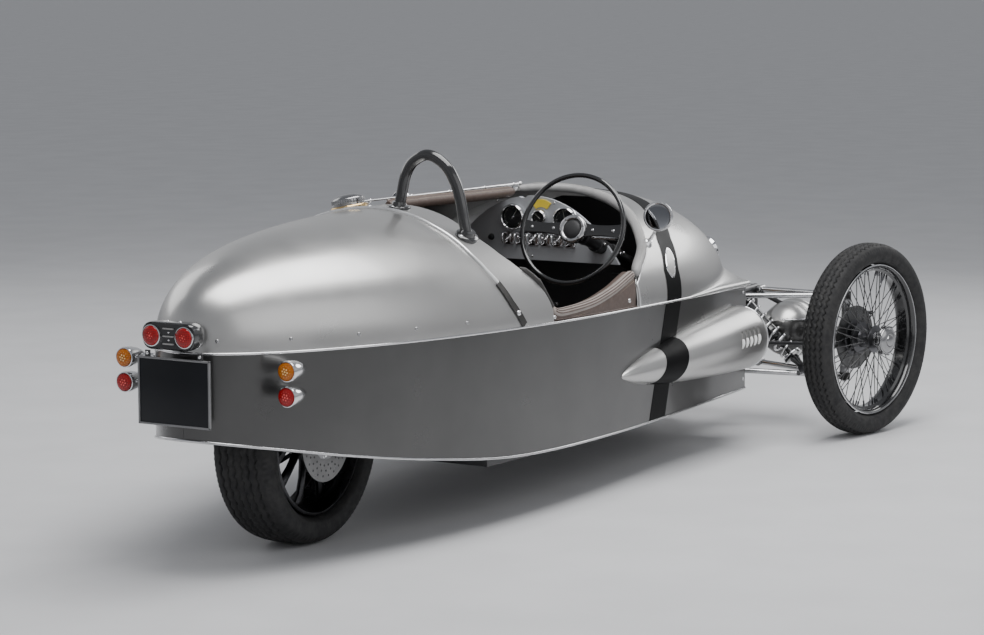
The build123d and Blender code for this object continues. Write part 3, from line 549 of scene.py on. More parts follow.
def bh(x, t=0.0):
    """Half width and height of the upper body's section at x, inset by t."""
    if x <= X_MAX:
        q = min(1.0, max(0.0, (X_MAX - x) / (A_LEN - t)))
        return (B_MAX - t) * sqrt(max(0.0, 1 - q * q)), (H_MAX - t) * max(0.0, 1 - q ** 3) ** (1 / 3)
    xx = x + t * min(1.0, max(0.0, (x - 2.2) / 0.2))
    return max(0.0, np.interp(xx, nose_line[:, 0], nose_line[:, 1]) - t), max(0.0, np.interp(xx, nose_line[:, 0], nose_line[:, 2]) - t)


def skin(x, th, t=0.0, lift=0.0):
    """Point of the upper body: th 0 on the right moulding, pi on the left."""
    b, h = bh(x, t)
    return V3((x, -(b + lift) * cos(th), mould(x) + (h + lift) * sin(th)))


def skin_normal(x, th):
    e = 1e-3
    a = skin(x + e, th) - skin(x - e, th)
    b = skin(x, th + e) - skin(x, th - e)
    n = np.cross(a, b)
    n = n / (np.linalg.norm(n) + 1e-12)
    c0 = V3((x, 0, mould(x)))
    return n if np.dot(n, skin(x, th) - c0) > 0 else -n


def on_skin(x, y, lift=0.0):
    """Point of the upper body above plan position (x, y), with its normal."""
    b, h = bh(x)
    th = acos(max(-1.0, min(1.0, -y / b)))
    n = skin_normal(x, th)
    return skin(x, th) + n * lift, n


def solve_x(cond, th, lo, hi):
    """x at which the skin's line th meets cond(x, point) = 0, rising through it."""
    for _ in range(44):
        mid = (lo + hi) / 2
        if cond(mid, skin(mid, th)) > 0:
            hi = mid
        else:
            lo = mid
    return (lo + hi) / 2


SEAM = ((0.560, 0.300), (0.528, 0.575), (0.474, 0.648), (0.443, 0.708), (0.422, 0.746), (0.407, 0.788), (0.402, 0.868), (0.420, 0.915))
COWL = ((1.428, 0.300), (1.430, 0.546), (1.449, 0.646), (1.522, 0.732), (1.612, 0.786), (1.708, 0.823), (1.800, 0.868), (1.830, 0.900))
seam_z, seam_x = [q[1] for q in SEAM], [q[0] for q in SEAM]
cowl_z, cowl_x = [q[1] for q in COWL], [q[0] for q in COWL]


def x_seam(th, dx=0.0):
    return solve_x(lambda x, p: x - dx - float(np.interp(p[2], seam_z, seam_x)), th, -0.4, 1.4)


def x_cowl(th, dx=0.0):
    return solve_x(lambda x, p: x - dx - float(np.interp(p[2], cowl_z, cowl_x)), th, 0.9, 2.2)


# rear and front edges of the cockpit opening, (y, x) across the car's right half
REAR_EDGE = ((-0.470, 0.690), (-0.452, 0.682), (-0.432, 0.653), (-0.412, 0.622), (-0.392, 0.590), (-0.350, 0.546), (-0.290, 0.520), (-0.230, 0.524),
             (-0.180, 0.538), (-0.110, 0.553), (-0.060, 0.563), (0.000, 0.575), (0.040, 0.583), (0.076, 0.590))
FRONT_EDGE = ((-0.470, 1.215), (-0.456, 1.228), (-0.444, 1.262), (-0.425, 1.335), (-0.408, 1.379), (-0.380, 1.424), (-0.346, 1.468), (-0.300, 1.514), (-0.251, 1.546),
              (-0.190, 1.566), (-0.110, 1.572), (-0.060, 1.562), (-0.010, 1.530), (0.030, 1.480), (0.060, 1.425), (0.076, 1.380))


def edge_x(table, y):
    a = np.array(table)
    return float(np.interp(y, a[:, 0], a[:, 1]))


def grid(us, ws, fn):
    return np.array([[fn(u, w) for w in ws] for u in us])


def panel(name, ths, xa, xb, nx, t, mat, replaces=(), ease=None, bevel=0.0018):
    """Part of the upper shell between two lines xa(th) and xb(th)."""
    ws = np.linspace(0, 1, nx)
    if ease:
        ws = np.array([ease(w) for w in ws])

    def put(tt):
        rows = []
        for th in ths:
            a, b = xa(th), xb(th)
            if tt and a < -0.50:
                a += tt
            if tt and b > 2.38:
                b -= tt
            rows.append([skin(a + (b - a) * w, th, tt) for w in ws])
        return np.array(rows)
    v, f = shell(put(0.0), put(t))
    return piece(name, (v, f), mat, replaces=replaces, bevel=bevel, angle=42)


THS = np.concatenate([np.linspace(0, 0.16, 7)[:-1], np.linspace(0.16, pi - 0.16, 73), np.linspace(pi - 0.16, pi, 7)[1:]])
SKIN_T = 0.0042

# rear deck: from the tail's tip to the seam
panel("rear_deck_shell", THS, lambda th: -0.5448, lambda th: x_seam(th, -0.001), 84, SKIN_T, "silver", "rear_deck",
      ease=lambda w: 1 - cos(w * pi / 2) if w < 1 else 1.0)


def th_of(x, y):
    b, h = bh(x)
    return acos(max(-1.0, min(1.0, -y / b)))


def edge_line(table, th, sign=1.0):
    """x where the skin's line th crosses the opening's edge."""
    x = 1.0
    for _ in range(60):
        b, h = bh(x)
        y = -b * cos(th)
        x = 0.5 * x + 0.5 * edge_x(table, sign * y)
    return x


TH_MID = th_of(1.0, 0.076)
ths_r = np.concatenate([np.linspace(0, 0.16, 6)[:-1], np.linspace(0.16, TH_MID, 44)])
ths_l = np.concatenate([np.linspace(TH_MID + 0.003, pi - 0.16, 40)[:-1], np.linspace(pi - 0.16, pi, 6)])
ths_all = np.concatenate([ths_r, ths_l])


def rear_line(th):
    return edge_line(REAR_EDGE, th, 1.0 if th <= TH_MID else -1.0)


def front_line(th):
    return edge_line(FRONT_EDGE, th, 1.0 if th <= TH_MID else -1.0)


g = Geo()
for part_ths in (ths_r, ths_l):
    ws = np.linspace(0, 1, 12)
    for a_fn, b_fn, nx in ((lambda th: x_seam(th, 0.001), lambda th: rear_line(th) - (0.001 if th > TH_MID else 0.0), 12),
                           (lambda th: front_line(th) + (0.001 if th > TH_MID else 0.0), lambda th: x_cowl(th, -0.001), 14)):
        ws = np.linspace(0, 1, nx)
        rows = [[(lambda a, b: [skin(a + (b - a) * w, th, tt) for w in ws])(a_fn(th), b_fn(th)) for th in part_ths] for tt in (0.0, SKIN_T)]
        g.add(shell(np.array(rows[0]), np.array(rows[1])))
piece("cockpit_surround_shell", g, "silver", replaces="cockpit_surround", bevel=0.0018, angle=42)

panel("passenger_cover_shell", ths_l[1:], lambda th: rear_line(th) + 0.001, lambda th: front_line(th) - 0.001, 60, SKIN_T, "silver", "passenger_cover")

# bonnet with the flares over the front corners
NB = 70
panel("bonnet_shell", THS, lambda th: x_cowl(th, 0.001), lambda th: NOSE_X, NB, SKIN_T, "silver", "bonnet",
      ease=lambda w: sin(w * pi / 2) if w < 1 else 1.0)
for s, side in ((-1, "right"), (1, "left")):
    rows_o, rows_i = [], []
    for i in range(40):
        k = i / 39
        x = 1.628 + (2.139 - 1.628) * k
        y_out = plan(x) + 0.004 + 0.002 * k
        b, h = bh(x)
        rise = 0.052 * k ** 0.9 + 0.004
        z0 = mould(x)
        q_ = min(1.0, 0.22 + 1.6 * k)
        on_b = lambda r_: b * sqrt(max(0.0, 1 - (r_ / h) ** 2))
        lip = [(y_out, z0 + 0.0005), (y_out + 0.0018 * q_, z0 + 0.0040 * q_), (y_out + 0.0008 * q_, z0 + 0.0090 * q_), (y_out - 0.0036 * q_, z0 + 0.0138 * q_), (y_out - 0.0090 * q_, z0 + 0.0158 * q_)]
        foot = (on_b(rise) + 0.0004, z0 + rise)
        up_pt = (on_b(rise + 0.016 * q_) - 0.0012, z0 + rise + 0.016 * q_)
        mid_ = [(lip[-1][0] + (foot[0] - lip[-1][0]) * w, lip[-1][1] + (foot[1] - lip[-1][1]) * w - 0.004 * q_ * sin(pi * w)) for w in (0.2, 0.4, 0.6, 0.8, 0.9)]
        bend = [tuple(np.array(mid_[-1]) * (1 - w) ** 2 + np.array(foot) * 2 * w * (1 - w) + np.array(up_pt) * w * w) for w in (0.25, 0.5, 0.75, 1.0)]
        top = [(x, s * a_, c_) for a_, c_ in lip + mid_ + bend]
        rows_o.append(top)
        rows_i.append([(x, s * min(abs(p[1]) - 0.0015, y_out - 0.003), max(z0 - 0.001, min(z0 + 0.004, p[2] - 0.004))) for p in top])
    piece("bonnet_flare_" + side, shell(np.array(rows_o), np.array(rows_i)), "silver", bevel=0.0008, angle=60)

# black band round the bonnet, with a bare oval plate on each side
ws = np.linspace(0, 1, 10)
rows_o, rows_i = [], []
for th in np.linspace(0.002, pi - 0.002, 110):
    a = x_cowl(th, 0.0025)
    b = a + 0.110
    rows_o.append([skin(a + (b - a) * w, th, 0.0, 0.0011) for w in ws])
    rows_i.append([skin(a + (b - a) * w, th, 0.0, -0.001) for w in ws])
piece("bonnet_band", shell(np.array(rows_o), np.array(rows_i)), "stripe", bevel=0.0006, seg=1)


# ------------------------------------------------------------------ side panels
LOWX = np.array([-0.600, -0.400, -0.200, 0.100, 0.500, 1.100, 1.650, 2.200])
LOWZ = np.array([0.384, 0.343, 0.302, 0.250, 0.200, 0.181, 0.176, 0.172])
low_path = np.array(smooth_path([(x, 0, z) for x, z in zip(LOWX, LOWZ)], 24))


def low_z(x):
    return float(np.interp(x, low_path[:, 0], low_path[:, 2]))


XS_SIDE = [X_MAX - A_LEN * cos(p) for p in np.linspace(0.0008, pi / 2, 72)] + list(np.linspace(X_MAX, 2.115, 26)[1:])


def side_point(x, v, t, s, lift=0.0):
    y = plan(x, t) + lift
    z0, z1 = low_z(x), mould(x) - 0.001
    return V3((x + (t if x < -0.52 else 0.0), s * y, z0 + (z1 - z0) * v))


for s, side in ((-1, "right"), (1, "left")):
    vs = np.linspace(0, 1, 15)
    o_ = grid(XS_SIDE, vs, lambda x, v: side_point(x, v, 0.0, s))
    i_ = grid(XS_SIDE, vs, lambda x, v: side_point(min(x, 2.115), v, 0.006, s))
    # side panels take the dark lower-body paint, partly two-tone and partly painted shade
    piece("side_panel_shell_" + side, shell(o_, i_), "lower", replaces="side_panel_" + side, bevel=0.0015)
    # black band down the side panel, in line with the bonnet's
    bo, bi = [], []
    for v in np.linspace(0.012, 0.985, 24):
        z_top = 0.535
        rowo, rowi = [], []
        for k in range(8):
            z = low_z(1.45) + (mould(1.45) - low_z(1.45)) * v
            x = 1.424 - (z_top - z) * 0.335 + 0.118 * k / 7
            rowo.append((x, s * (plan(x) + 0.0011), z))
            rowi.append((x, s * (plan(x) - 0.001), z))
        bo.append(rowo)
        bi.append(rowi)
    piece("side_band_" + side, shell(np.array(bo), np.array(bi)), "stripe", bevel=0.0005, seg=1)
    # small fixings at the panel's front edge
    gb = Geo()
    for x, z in ((2.088, 0.505), (2.092, 0.430), (2.095, 0.262), (2.098, 0.205)):
        gb.add(dome((x, s * plan(x), z), (0, s, 0), 0.006, 0.0035))
    piece("side_panel_fixings_" + side, gb, "chrome")


def outline(x0, x1, zfn, lift, n=150):
    """Line round the body's plan from (x0, right) round the tail and back to x0 on the left; x1 is not used."""
    pts = []
    ph0 = acos(max(-1, min(1, (X_MAX - x0) / A_LEN))) if x0 < X_MAX else pi / 2
    xs = list(np.linspace(x0, X_MAX, 22)[:-1]) if x0 > X_MAX else []
    xs += [X_MAX - A_LEN * cos(p) for p in np.linspace(ph0, 0, n)]
    for x in xs:
        y = plan(x)
        q = min(1.0, max(0.0, (X_MAX - x) / A_LEN))
        nx, ny = -q / A_LEN, y / (B_MAX * B_MAX) if B_MAX else 0
        nn = hypot(nx, ny) + 1e-9
        pts.append((x + lift * nx / nn, -(y + lift * ny / nn), zfn(x)))
    left = [(p[0], -p[1], p[2]) for p in reversed(pts[:-1])]
    return pts + left


piece("moulding_bead", sweep(outline(2.112, 2.112, mould, 0.0012), 0.0037, 10), "chrome")
piece("lower_edge_bead", sweep(outline(2.112, 2.112, lambda x: low_z(x) + 0.001, 0.0008), 0.0042, 10), "steel")

# bright bead over the deck's front seam, then a leather strap down each side
TH_STRAP = 0.411
pts = []
for th in np.linspace(TH_STRAP, pi - TH_STRAP, 90):
    x = x_seam(th)
    pts.append(skin(x, th) + skin_normal(x, th) * 0.0018)
piece("deck_seam_bead", sweep(pts, 0.0054, 12), "bead")
g = Geo()
for s in (-1, 1):
    line, ups = [], []
    for k in range(26):
        th = TH_STRAP * (1 - k / 25) + 0.02 * (k / 25)
        th = th if s < 0 else pi - th
        x = x_seam(th)
        n = skin_normal(x, th)
        line.append(skin(x, th) + n * 0.0020)
        ups.append(n)
    sec = [(-1.0, -0.10), (-1.0, 0.06), (-0.86, 0.16), (-0.80, 0.10), (0.80, 0.10), (0.86, 0.16), (1.0, 0.06), (1.0, -0.10)]
    g.add(sweep(line, 0.0125, section=sec, up=ups))
piece("deck_straps", g, "black_leather", angle=30)
g = Geo()
for s in (-1, 1):
    for th_k in (0.13,):
        th = th_k if s < 0 else pi - th_k
        x = x_seam(th)
        n = skin_normal(x, th)
        g.add(dome(skin(x, th) + n * 0.003, n, 0.0085, 0.006, 22))
piece("deck_strap_studs", g, "chrome")

# row of domed fixings along the deck's lower edge
g = Geo()
for x in (-0.513, -0.357, -0.156, 0.048, 0.257):
    for s in (1, -1):
        b, h = bh(x)
        z_up = 0.034
        th = z_up / h
        th = th if s > 0 else pi - th
        g.add(dome(skin(x, th), skin_normal(x, th), 0.0055, 0.0036))
piece("deck_fixings", g, "satin")

# bare oval plates on the band
for s, side in ((-1, "right"), (1, "left")):
    rows = []
    g = Geo()
    th0 = 0.36
    for i in range(14):
        r = i / 13
        ring = []
        for k in range(48):
            a = tau * k / 48
            th = th0 + 0.145 * r * sin(a)
            th = th if s < 0 else pi - th
            x = x_cowl(th, 0.056 + 0.036 * r * cos(a))
            h = 0.0022 if r < 0.88 else 0.0030
            if r > 0.99:
                h = 0.0008
            ring.append(skin(x, th, 0.0, h))
        rows.append(ring)
    v = [p for ring in rows for p in ring]
    f = []
    for i in range(13):
        for k in range(48):
            k2 = (k + 1) % 48
            f.append((i * 48 + k, i * 48 + k2, (i + 1) * 48 + k2, (i + 1) * 48 + k))
    g.add((v, f))
    g.m = [1 if q[0] // 48 >= 11 else 0 for q in f]
    piece("band_oval_" + side, g, ["silver", "chrome"], angle=60)


# ------------------------------------------------------------ hoop, cap and mirrors
HOOP = ((-0.2775, 0.800), (-0.276, 0.826), (-0.266, 0.880), (-0.254, 0.940), (-0.236, 0.990), (-0.205, 1.035), (-0.150, 1.0635), (-0.100, 1.044), (-0.073, 1.005), (-0.060, 0.955), (-0.050, 0.910), (-0.042, 0.862))
hoop_line = smooth_path([(0.478, y, z) for y, z in HOOP], 8)


g = Geo()
g.add(sweep(hoop_line, 0.0165, 28))
for y in (-0.275, -0.048):
    p, n = on_skin(0.478, y)
    d, u, w = frames(n)
    lx = V3((1, 0, 0)) - n * n[0]
    lx /= np.linalg.norm(lx)
    ly = np.cross(n, lx)
    prof = [(1.0, -0.003), (1.0, 0.005), (0.93, 0.0075), (0.62, 0.009), (0.58, 0.016), (0.54, 0.020)]
    rows = []
    for r, h in prof:
        rows.append([p + n * h + lx * 0.044 * r * cos(a) + ly * 0.032 * r * sin(a) for a in np.linspace(0, tau, 41)[:-1]])
    v = [q for row in rows for q in row]
    f = [(i * 40 + k, i * 40 + (k + 1) % 40, (i + 1) * 40 + (k + 1) % 40, (i + 1) * 40 + k) for i in range(5) for k in range(40)]
    f += [tuple(range(200, 240)), tuple(reversed(range(40)))]
    g.add((v, f))
piece("roll_hoop_tube", g, "gloss", replaces="roll_hoop", angle=50)
g = Geo()
for y in (-0.275, -0.048):
    p, n = on_skin(0.478, y)
    lx = V3((1, 0, 0)) - n * n[0]
    lx /= np.linalg.norm(lx)
    for k in (-1, 1):
        q = p + lx * 0.035 * k
        g.add(dome(q + n * 0.0066, n, 0.0058, 0.004, 16))
piece("roll_hoop_screws", g, "chrome")

cap_p, cap_n = on_skin(0.465, 0.113)
g = Geo()
g.add(lathe([(-0.006, 0.051), (0.003, 0.0555), (0.008, 0.0560), (0.0105, 0.0545), (0.0125, 0.0480)], cap_p, cap_n, 64), 1)
g.add(lathe([(0.010, 0.0470), (0.018, 0.0470), (0.019, 0.0450)], cap_p, cap_n, 56), 0)
g.add(lathe([(0.016, 0.0430), (0.017, 0.0480), (0.0185, 0.0488), (0.0300, 0.0488), (0.0325, 0.0472), (0.0375, 0.0400), (0.0420, 0.0280), (0.0445, 0.0130), (0.0450, 0.0)], cap_p, cap_n, 64), 0)
d_, u_, w_ = frames(cap_n)
for k in range(36):
    a = tau * k / 36
    e_ = u_ * cos(a) + w_ * sin(a)
    g.add(rod(cap_p + cap_n * 0.0185 + e_ * 0.0486, cap_p + cap_n * 0.0300 + e_ * 0.0486, 0.0019, 8), 0)
for k in range(8):
    a = tau * k / 8 + 0.3
    e_ = u_ * cos(a) + w_ * sin(a)
    g.add(dome(cap_p + cap_n * 0.0100 + e_ * 0.0520, cap_n, 0.0026, 0.0018, 10), 0)
piece("filler_cap_turned", g, ["satin", "brass"], replaces="filler_cap", angle=35)

for s, side in ((-1, "right"), (1, "left")):
    mc = V3((1.355, s * 0.470, 0.826))
    ax = V3((0.94, -s * 0.18, 0.0))
    ax /= np.linalg.norm(ax)
    g = Geo()
    g.add(lathe([(-0.0035, 0.0395), (-0.0045, 0.0425), (-0.004, 0.0455), (0.000, 0.0475), (0.005, 0.0480), (0.012, 0.0455), (0.022, 0.038), (0.030, 0.026),
                 (0.035, 0.012), (0.0365, 0.0)], mc, ax, 64, caps=False), 0)
    g.add(lathe([(-0.0025, 0.0), (-0.0030, 0.030), (-0.0022, 0.0400), (0.001, 0.0400)], mc, ax, 64), 1)
    foot_p, foot_n = on_skin(1.437, s * 0.394)
    path = smooth_path([foot_p + foot_n * 0.010, foot_p + foot_n * 0.034 + V3((-0.006, s * 0.006, 0.018)), V3((1.392, s * 0.452, 0.790)), mc + V3((0.022, -s * 0.004, -0.032))], 8)
    g.add(sweep(path, [0.0058 - 0.0012 * k / len(path) for k in range(len(path))], 14), 0)
    g.add(lathe([(-0.004, 0.019), (0.003, 0.0185), (0.007, 0.014), (0.010, 0.0095), (0.017, 0.0078), (0.018, 0.0)], foot_p, foot_n, 32), 0)
    g.add(lathe([(-0.010, 0.0), (-0.008, 0.0075), (0.0, 0.0098), (0.008, 0.0075), (0.010, 0.0)], mc + V3((0.022, -s * 0.004, -0.033)), (0, 0, 1), 20), 0)
    piece("mirror_" + side, g, ["chrome", "mirror"], replaces="mirrors" if s < 0 else (), angle=40)


# ---------------------------------------------------------------------- tail lights
def rounded_rect(w, h, r, n=8):
    pts = []
    for cx, cy, a0 in ((w - r, h - r, 0), (-(w - r), h - r, pi / 2), (-(w - r), -(h - r), pi), (w - r, -(h - r), 3 * pi / 2)):
        for k in range(n + 1):
            a = a0 + (pi / 2) * k / n
            pts.append((cx + r * cos(a), cy + r * sin(a)))
    return pts


POD_Y = -0.008
g = Geo()
rows = []
for x, k, r in ((-0.6145, 0.90, 0.024), (-0.6180, 0.965, 0.026), (-0.6160, 1.0, 0.028), (-0.600, 1.0, 0.030), (-0.580, 0.985, 0.030), (-0.562, 0.93, 0.028), (-0.553, 0.80, 0.022)):
    rows.append([(x, POD_Y + a * k, 0.658 + b * k) for a, b in rounded_rect(0.082, 0.036, r)])
nr = len(rows[0])
v = [p for row in rows for p in row]
f = [(i * nr + k, i * nr + (k + 1) % nr, (i + 1) * nr + (k + 1) % nr, (i + 1) * nr + k) for i in range(len(rows) - 1) for k in range(nr)]
f += [tuple(reversed(range(nr))), tuple(range((len(rows) - 1) * nr, len(rows) * nr))]
g.add((v, f), 0)
g.add(bevelled(-0.560, -0.490, POD_Y - 0.020, POD_Y + 0.020, 0.612, 0.640, 0.004), 0)
for dy in (-0.052, 0.052):
    g.add(lathe([(0.004, 0.0290), (-0.004, 0.0285), (-0.0052, 0.0262), (-0.001, 0.0255)], (-0.6165, POD_Y + dy, 0.658), (1, 0, 0), 48), 1)
for dz in (-0.020, 0.000, 0.020):
    g.add(bevelled(-0.6195, -0.6140, POD_Y - 0.017, POD_Y + 0.017, 0.6562 + dz, 0.6598 + dz, 0.0010), 2)
for dz in (-0.010, 0.010):
    g.add(dome((-0.6150, POD_Y, 0.658 + dz), (-1, 0, 0), 0.0030, 0.0020, 14), 1)
for dy, dz in ((-0.020, 0.038), (0.020, 0.038)):
    g.add(dome((-0.590, POD_Y + dy, 0.6935), (0, 0, 1), 0.0040, 0.0030, 14), 1)
piece("tail_lamp_body", g, ["gloss", "chrome", "grey_leather"], replaces="tail_lamp_pod", angle=40)

g = Geo()
for dy in (-0.052, 0.052):
    g.add(lathe([(0.000, 0.0258), (-0.0050, 0.0250), (-0.0085, 0.0200), (-0.0102, 0.0110), (-0.0106, 0.0)], (-0.6170, POD_Y + dy, 0.658), (1, 0, 0), 48), 0)
for s in (-1, 1):
    for z, m in ((0.562, 1), (0.495, 0)):
        g.add(lathe([(0.000, 0.0238), (-0.0050, 0.0232), (-0.0082, 0.0175), (-0.0096, 0.0090), (-0.0100, 0.0)], (-0.4470, s * 0.260, z), (1, 0, 0), 48), m)
spots = [(c_, 0) for c_ in [V3((-0.6170, POD_Y + dy, 0.658)) for dy in (-0.052, 0.052)] + [V3((-0.4470, s * 0.260, 0.495)) for s in (-1, 1)]]
spots += [(V3((-0.4470, s * 0.260, 0.562)), 1) for s in (-1, 1)]
for c_, m in spots:
    for rr_, n_, h_ in ((0.0, 1, 0.0101), (0.0078, 6, 0.0091), (0.0156, 12, 0.0071)):
        for k in range(n_):
            a = tau * k / n_ + 0.2
            g.add(dome(c_ + V3((-h_, rr_ * cos(a), rr_ * sin(a))), (-1, 0.35 * rr_ / 0.0156 * cos(a), 0.35 * rr_ / 0.0156 * sin(a)), 0.0027, 0.0014, 12), 2 + m)
piece("tail_lens_set", g, ["red", "amber", "red_spot", "amber_spot"], replaces="tail_lenses", angle=50)

g = Geo()
for s in (-1, 1):
    for z in (0.562, 0.495):
        c0 = V3((-0.446, s * 0.260, z))
        g.add(lathe([(-0.0010, 0.0238), (-0.0040, 0.0252), (-0.0030, 0.0275), (0.003, 0.0285), (0.010, 0.0280), (0.030, 0.0262), (0.050, 0.0215), (0.068, 0.0145),
                     (0.082, 0.0070), (0.088, 0.0)], c0, (1, 0, 0), 44), 0)
        y_wall = plan(-0.385)
        g.add(rod(c0 + V3((0.048, 0, 0)), (c0[0] + 0.070, s * (plan(c0[0] + 0.070) - 0.002), z), 0.0070, 14), 0)
        foot = V3((c0[0] + 0.070, s * plan(c0[0] + 0.070), z))
        nn = V3((-(X_MAX - foot[0]) / A_LEN ** 2, s * plan(foot[0]) / B_MAX ** 2, 0))
        g.add(lathe([(-0.002, 0.0135), (0.003, 0.0130), (0.006, 0.0090), (0.0065, 0.0)], foot, nn, 24), 0)
piece("side_lamp_bodies", g, "chrome", replaces="side_lamps", angle=50)
g = Geo()
for s in (-1, 1):
    foot = V3((-0.375, s * plan(-0.375), 0.570))
    nn = V3((-(X_MAX - foot[0]) / A_LEN ** 2, s * plan(foot[0]) / B_MAX ** 2, 0))
    g.add(dome(foot, nn, 0.0075, 0.006, 18))
piece("side_lamp_studs", g, "chrome")

# blank plate
PY = 0.0
g = Geo()
g.add(bevelled(-0.5845, -0.5795, PY - 0.114, PY + 0.114, 0.416, 0.596, 0.0018), 0)
for y0, y1, z0, z1 in ((PY - 0.114, PY + 0.114, 0.5905, 0.596), (PY - 0.114, PY + 0.114, 0.416, 0.4215), (PY - 0.114, PY - 0.1085, 0.416, 0.596), (PY + 0.1085, PY + 0.114, 0.416, 0.596)):
    g.add(bevelled(-0.5868, -0.5788, y0, y1, z0, z1, 0.0014), 1)
for dy in (-0.083, 0.083):
    g.add(bevelled(-0.5840, -0.5800, PY + dy - 0.008, PY + dy + 0.008, 0.590, 0.613, 0.0010), 3)
    g.add(dome((-0.5842, PY + dy, 0.605), (-1, 0, 0), 0.0048, 0.0036, 18), 2)
g.add(bevelled(-0.5795, -0.520, PY - 0.030, PY - 0.022, 0.455, 0.575, 0.002), 3)
g.add(bevelled(-0.5795, -0.520, PY + 0.022, PY + 0.030, 0.455, 0.575, 0.002), 3)
piece("number_plate_blank", g, ["plate", "grey_trim", "chrome", "black"], replaces="number_plate", angle=35)


# -------------------------------------------------------------------- side nacelles
NAC = ((0.000, 0.0), (0.006, 0.0062), (0.017, 0.0120), (0.037, 0.0196), (0.084, 0.0320), (0.140, 0.0435), (0.214, 0.0545), (0.288, 0.0633), (0.363, 0.0713),
       (0.437, 0.0785), (0.511, 0.0847), (0.586, 0.0901), (0.665, 0.0957), (0.744, 0.1005), (0.809, 0.1043), (0.865, 0.1072), (0.893, 0.1081), (0.904, 0.1070),
       (0.9073, 0.1038), (0.904, 0.1010), (0.865, 0.0986), (0.800, 0.0938), (0.707, 0.0880), (0.614, 0.0785), (0.521, 0.0670), (0.517, 0.0))
NTIP, NEND = V3((1.102, 0.468, 0.350)), V3((2.009, 0.468, 0.363))


def nac_frame(s):
    a = V3((NTIP[0], s * NTIP[1], NTIP[2]))
    b = V3((NEND[0], s * NEND[1], NEND[2]))
    d = (b - a) / np.linalg.norm(b - a)
    out_ = V3((0, s, 0))
    up_ = np.cross(d, out_) * (1 if s < 0 else -1)
    if up_[2] < 0:
        up_ = -up_
    return a, d, out_, up_


def nac_point(s, h, a, lift=0.0):
    """Point on the nacelle: h along it, a the angle from straight out towards the top."""
    o0, d, out_, up_ = nac_frame(s)
    hs = [q[0] for q in NAC[:18]]
    rs = [q[1] for q in NAC[:18]]
    r = float(np.interp(h, hs, rs)) + lift
    return o0 + d * h + (out_ * cos(a) + up_ * sin(a)) * r


for s, side in ((-1, "right"), (1, "left")):
    o0, d, out_, up_ = nac_frame(s)
    g = Geo()
    n = 96
    prof = NAC
    v, f = [], []
    rings = []
    for h, r in prof:
        if r < 1e-6:
            rings.append([len(v)])
            v.append(o0 + d * h)
        else:
            rings.append(list(range(len(v), len(v) + n)))
            for k in range(n):
                a = tau * k / n
                v.append(o0 + d * h + (out_ * cos(a) + up_ * sin(a)) * r)
    for A_, B_ in zip(rings[:-1], rings[1:]):
        for k in range(n):
            k2 = (k + 1) % n
            if len(A_) == 1:
                f.append((A_[0], B_[k2], B_[k]))
            elif len(B_) == 1:
                f.append((A_[k], A_[k2], B_[0]))
            else:
                f.append((A_[k], A_[k2], B_[k2], B_[k]))
    # slots cut in the outer wall near the mouth: their cutters
    cut = Geo()
    for k in range(5):
        hc = 0.716 + 0.0295 * k
        rows_o, rows_i = [], []
        for a in np.linspace(-0.06, 0.50, 11):
            sh_ = 0.020 * a
            w_ = 0.0088 if a > 0.25 else 0.0132
            rows_o.append([nac_point(s, hc + sh_ - w_, a, 0.012), nac_point(s, hc + sh_ + w_, a, 0.012)])
            rows_i.append([nac_point(s, hc + sh_ - w_, a, -0.0045), nac_point(s, hc + sh_ + w_, a, -0.0045)])
        cut.add(shell(np.array(rows_o), np.array(rows_i)))
    cutter_me = bpy.data.meshes.new("cutter")
    cutter_me.from_pydata([(p[0] - CX, p[1], p[2]) for p in cut.v], [], cut.f)
    bmc = bmesh.new(); bmc.from_mesh(cutter_me); bmesh.ops.recalc_face_normals(bmc, faces=bmc.faces); bmc.to_mesh(cutter_me); bmc.free()
    cutter = bpy.data.objects.new("cutter", cutter_me)
    bpy.context.scene.collection.objects.link(cutter)
    o = piece("nacelle_" + side, (v, f), "silver", replaces="nacelles" if s < 0 else (), angle=40)
    bo = o.modifiers.new("slots", "BOOLEAN")
    bo.operation, bo.object, bo.solver = "DIFFERENCE", cutter, "EXACT"
    bpy.context.view_layer.update()
    dg = bpy.context.evaluated_depsgraph_get()
    new = bpy.data.meshes.new_from_object(o.evaluated_get(dg))
    o.modifiers.clear()
    o.data = new
    new.polygons.foreach_set("use_smooth", [True] * len(new.polygons))
    new.set_sharp_from_angle(angle=radians(40))
    bpy.data.objects.remove(cutter)
    # bright blades between the slots
    g = Geo()
    for k in range(5):
        hc = 0.716 + 0.0295 * k
        bo_ = [[nac_point(s, hc + 0.020 * a + w, a, -0.0010 + 0.0070 * sin(pi * (a + 0.06) / 0.36) * (0.5 + w / 0.0135)) for w in np.linspace(-0.0042, 0.0042, 6)] for a in np.linspace(-0.06, 0.25, 14)]
        bi_ = [[nac_point(s, hc + 0.020 * a + w, a, -0.0030 + 0.0065 * sin(pi * (a + 0.06) / 0.36) * (0.5 + w / 0.0135)) for w in np.linspace(-0.0042, 0.0042, 6)] for a in np.linspace(-0.06, 0.25, 14)]
        g.add(shell(np.array(bo_), np.array(bi_)))
    piece("nacelle_blades_" + side, g, "vane")
    # black band round the nacelle
    bo_, bi_ = [], []
    for a in np.linspace(-1.58, 1.58, 60):
        bo_.append([nac_point(s, 0.212 + 0.135 * q + 0.03 * sin(a), a, 0.0009) for q in np.linspace(0, 1, 7)])
        bi_.append([nac_point(s, 0.212 + 0.135 * q + 0.03 * sin(a), a, -0.0008) for q in np.linspace(0, 1, 7)])
    piece("nacelle_band_" + side, shell(np.array(bo_), np.array(bi_)), "stripe")
    # rim bead round the mouth
    ring = [o0 + d * 0.904 + (out_ * cos(a) + up_ * sin(a)) * 0.1070 for a in np.linspace(-1.62, 1.62, 60)]
    piece("nacelle_rim_" + side, sweep(ring, 0.0028, 10), "chrome")


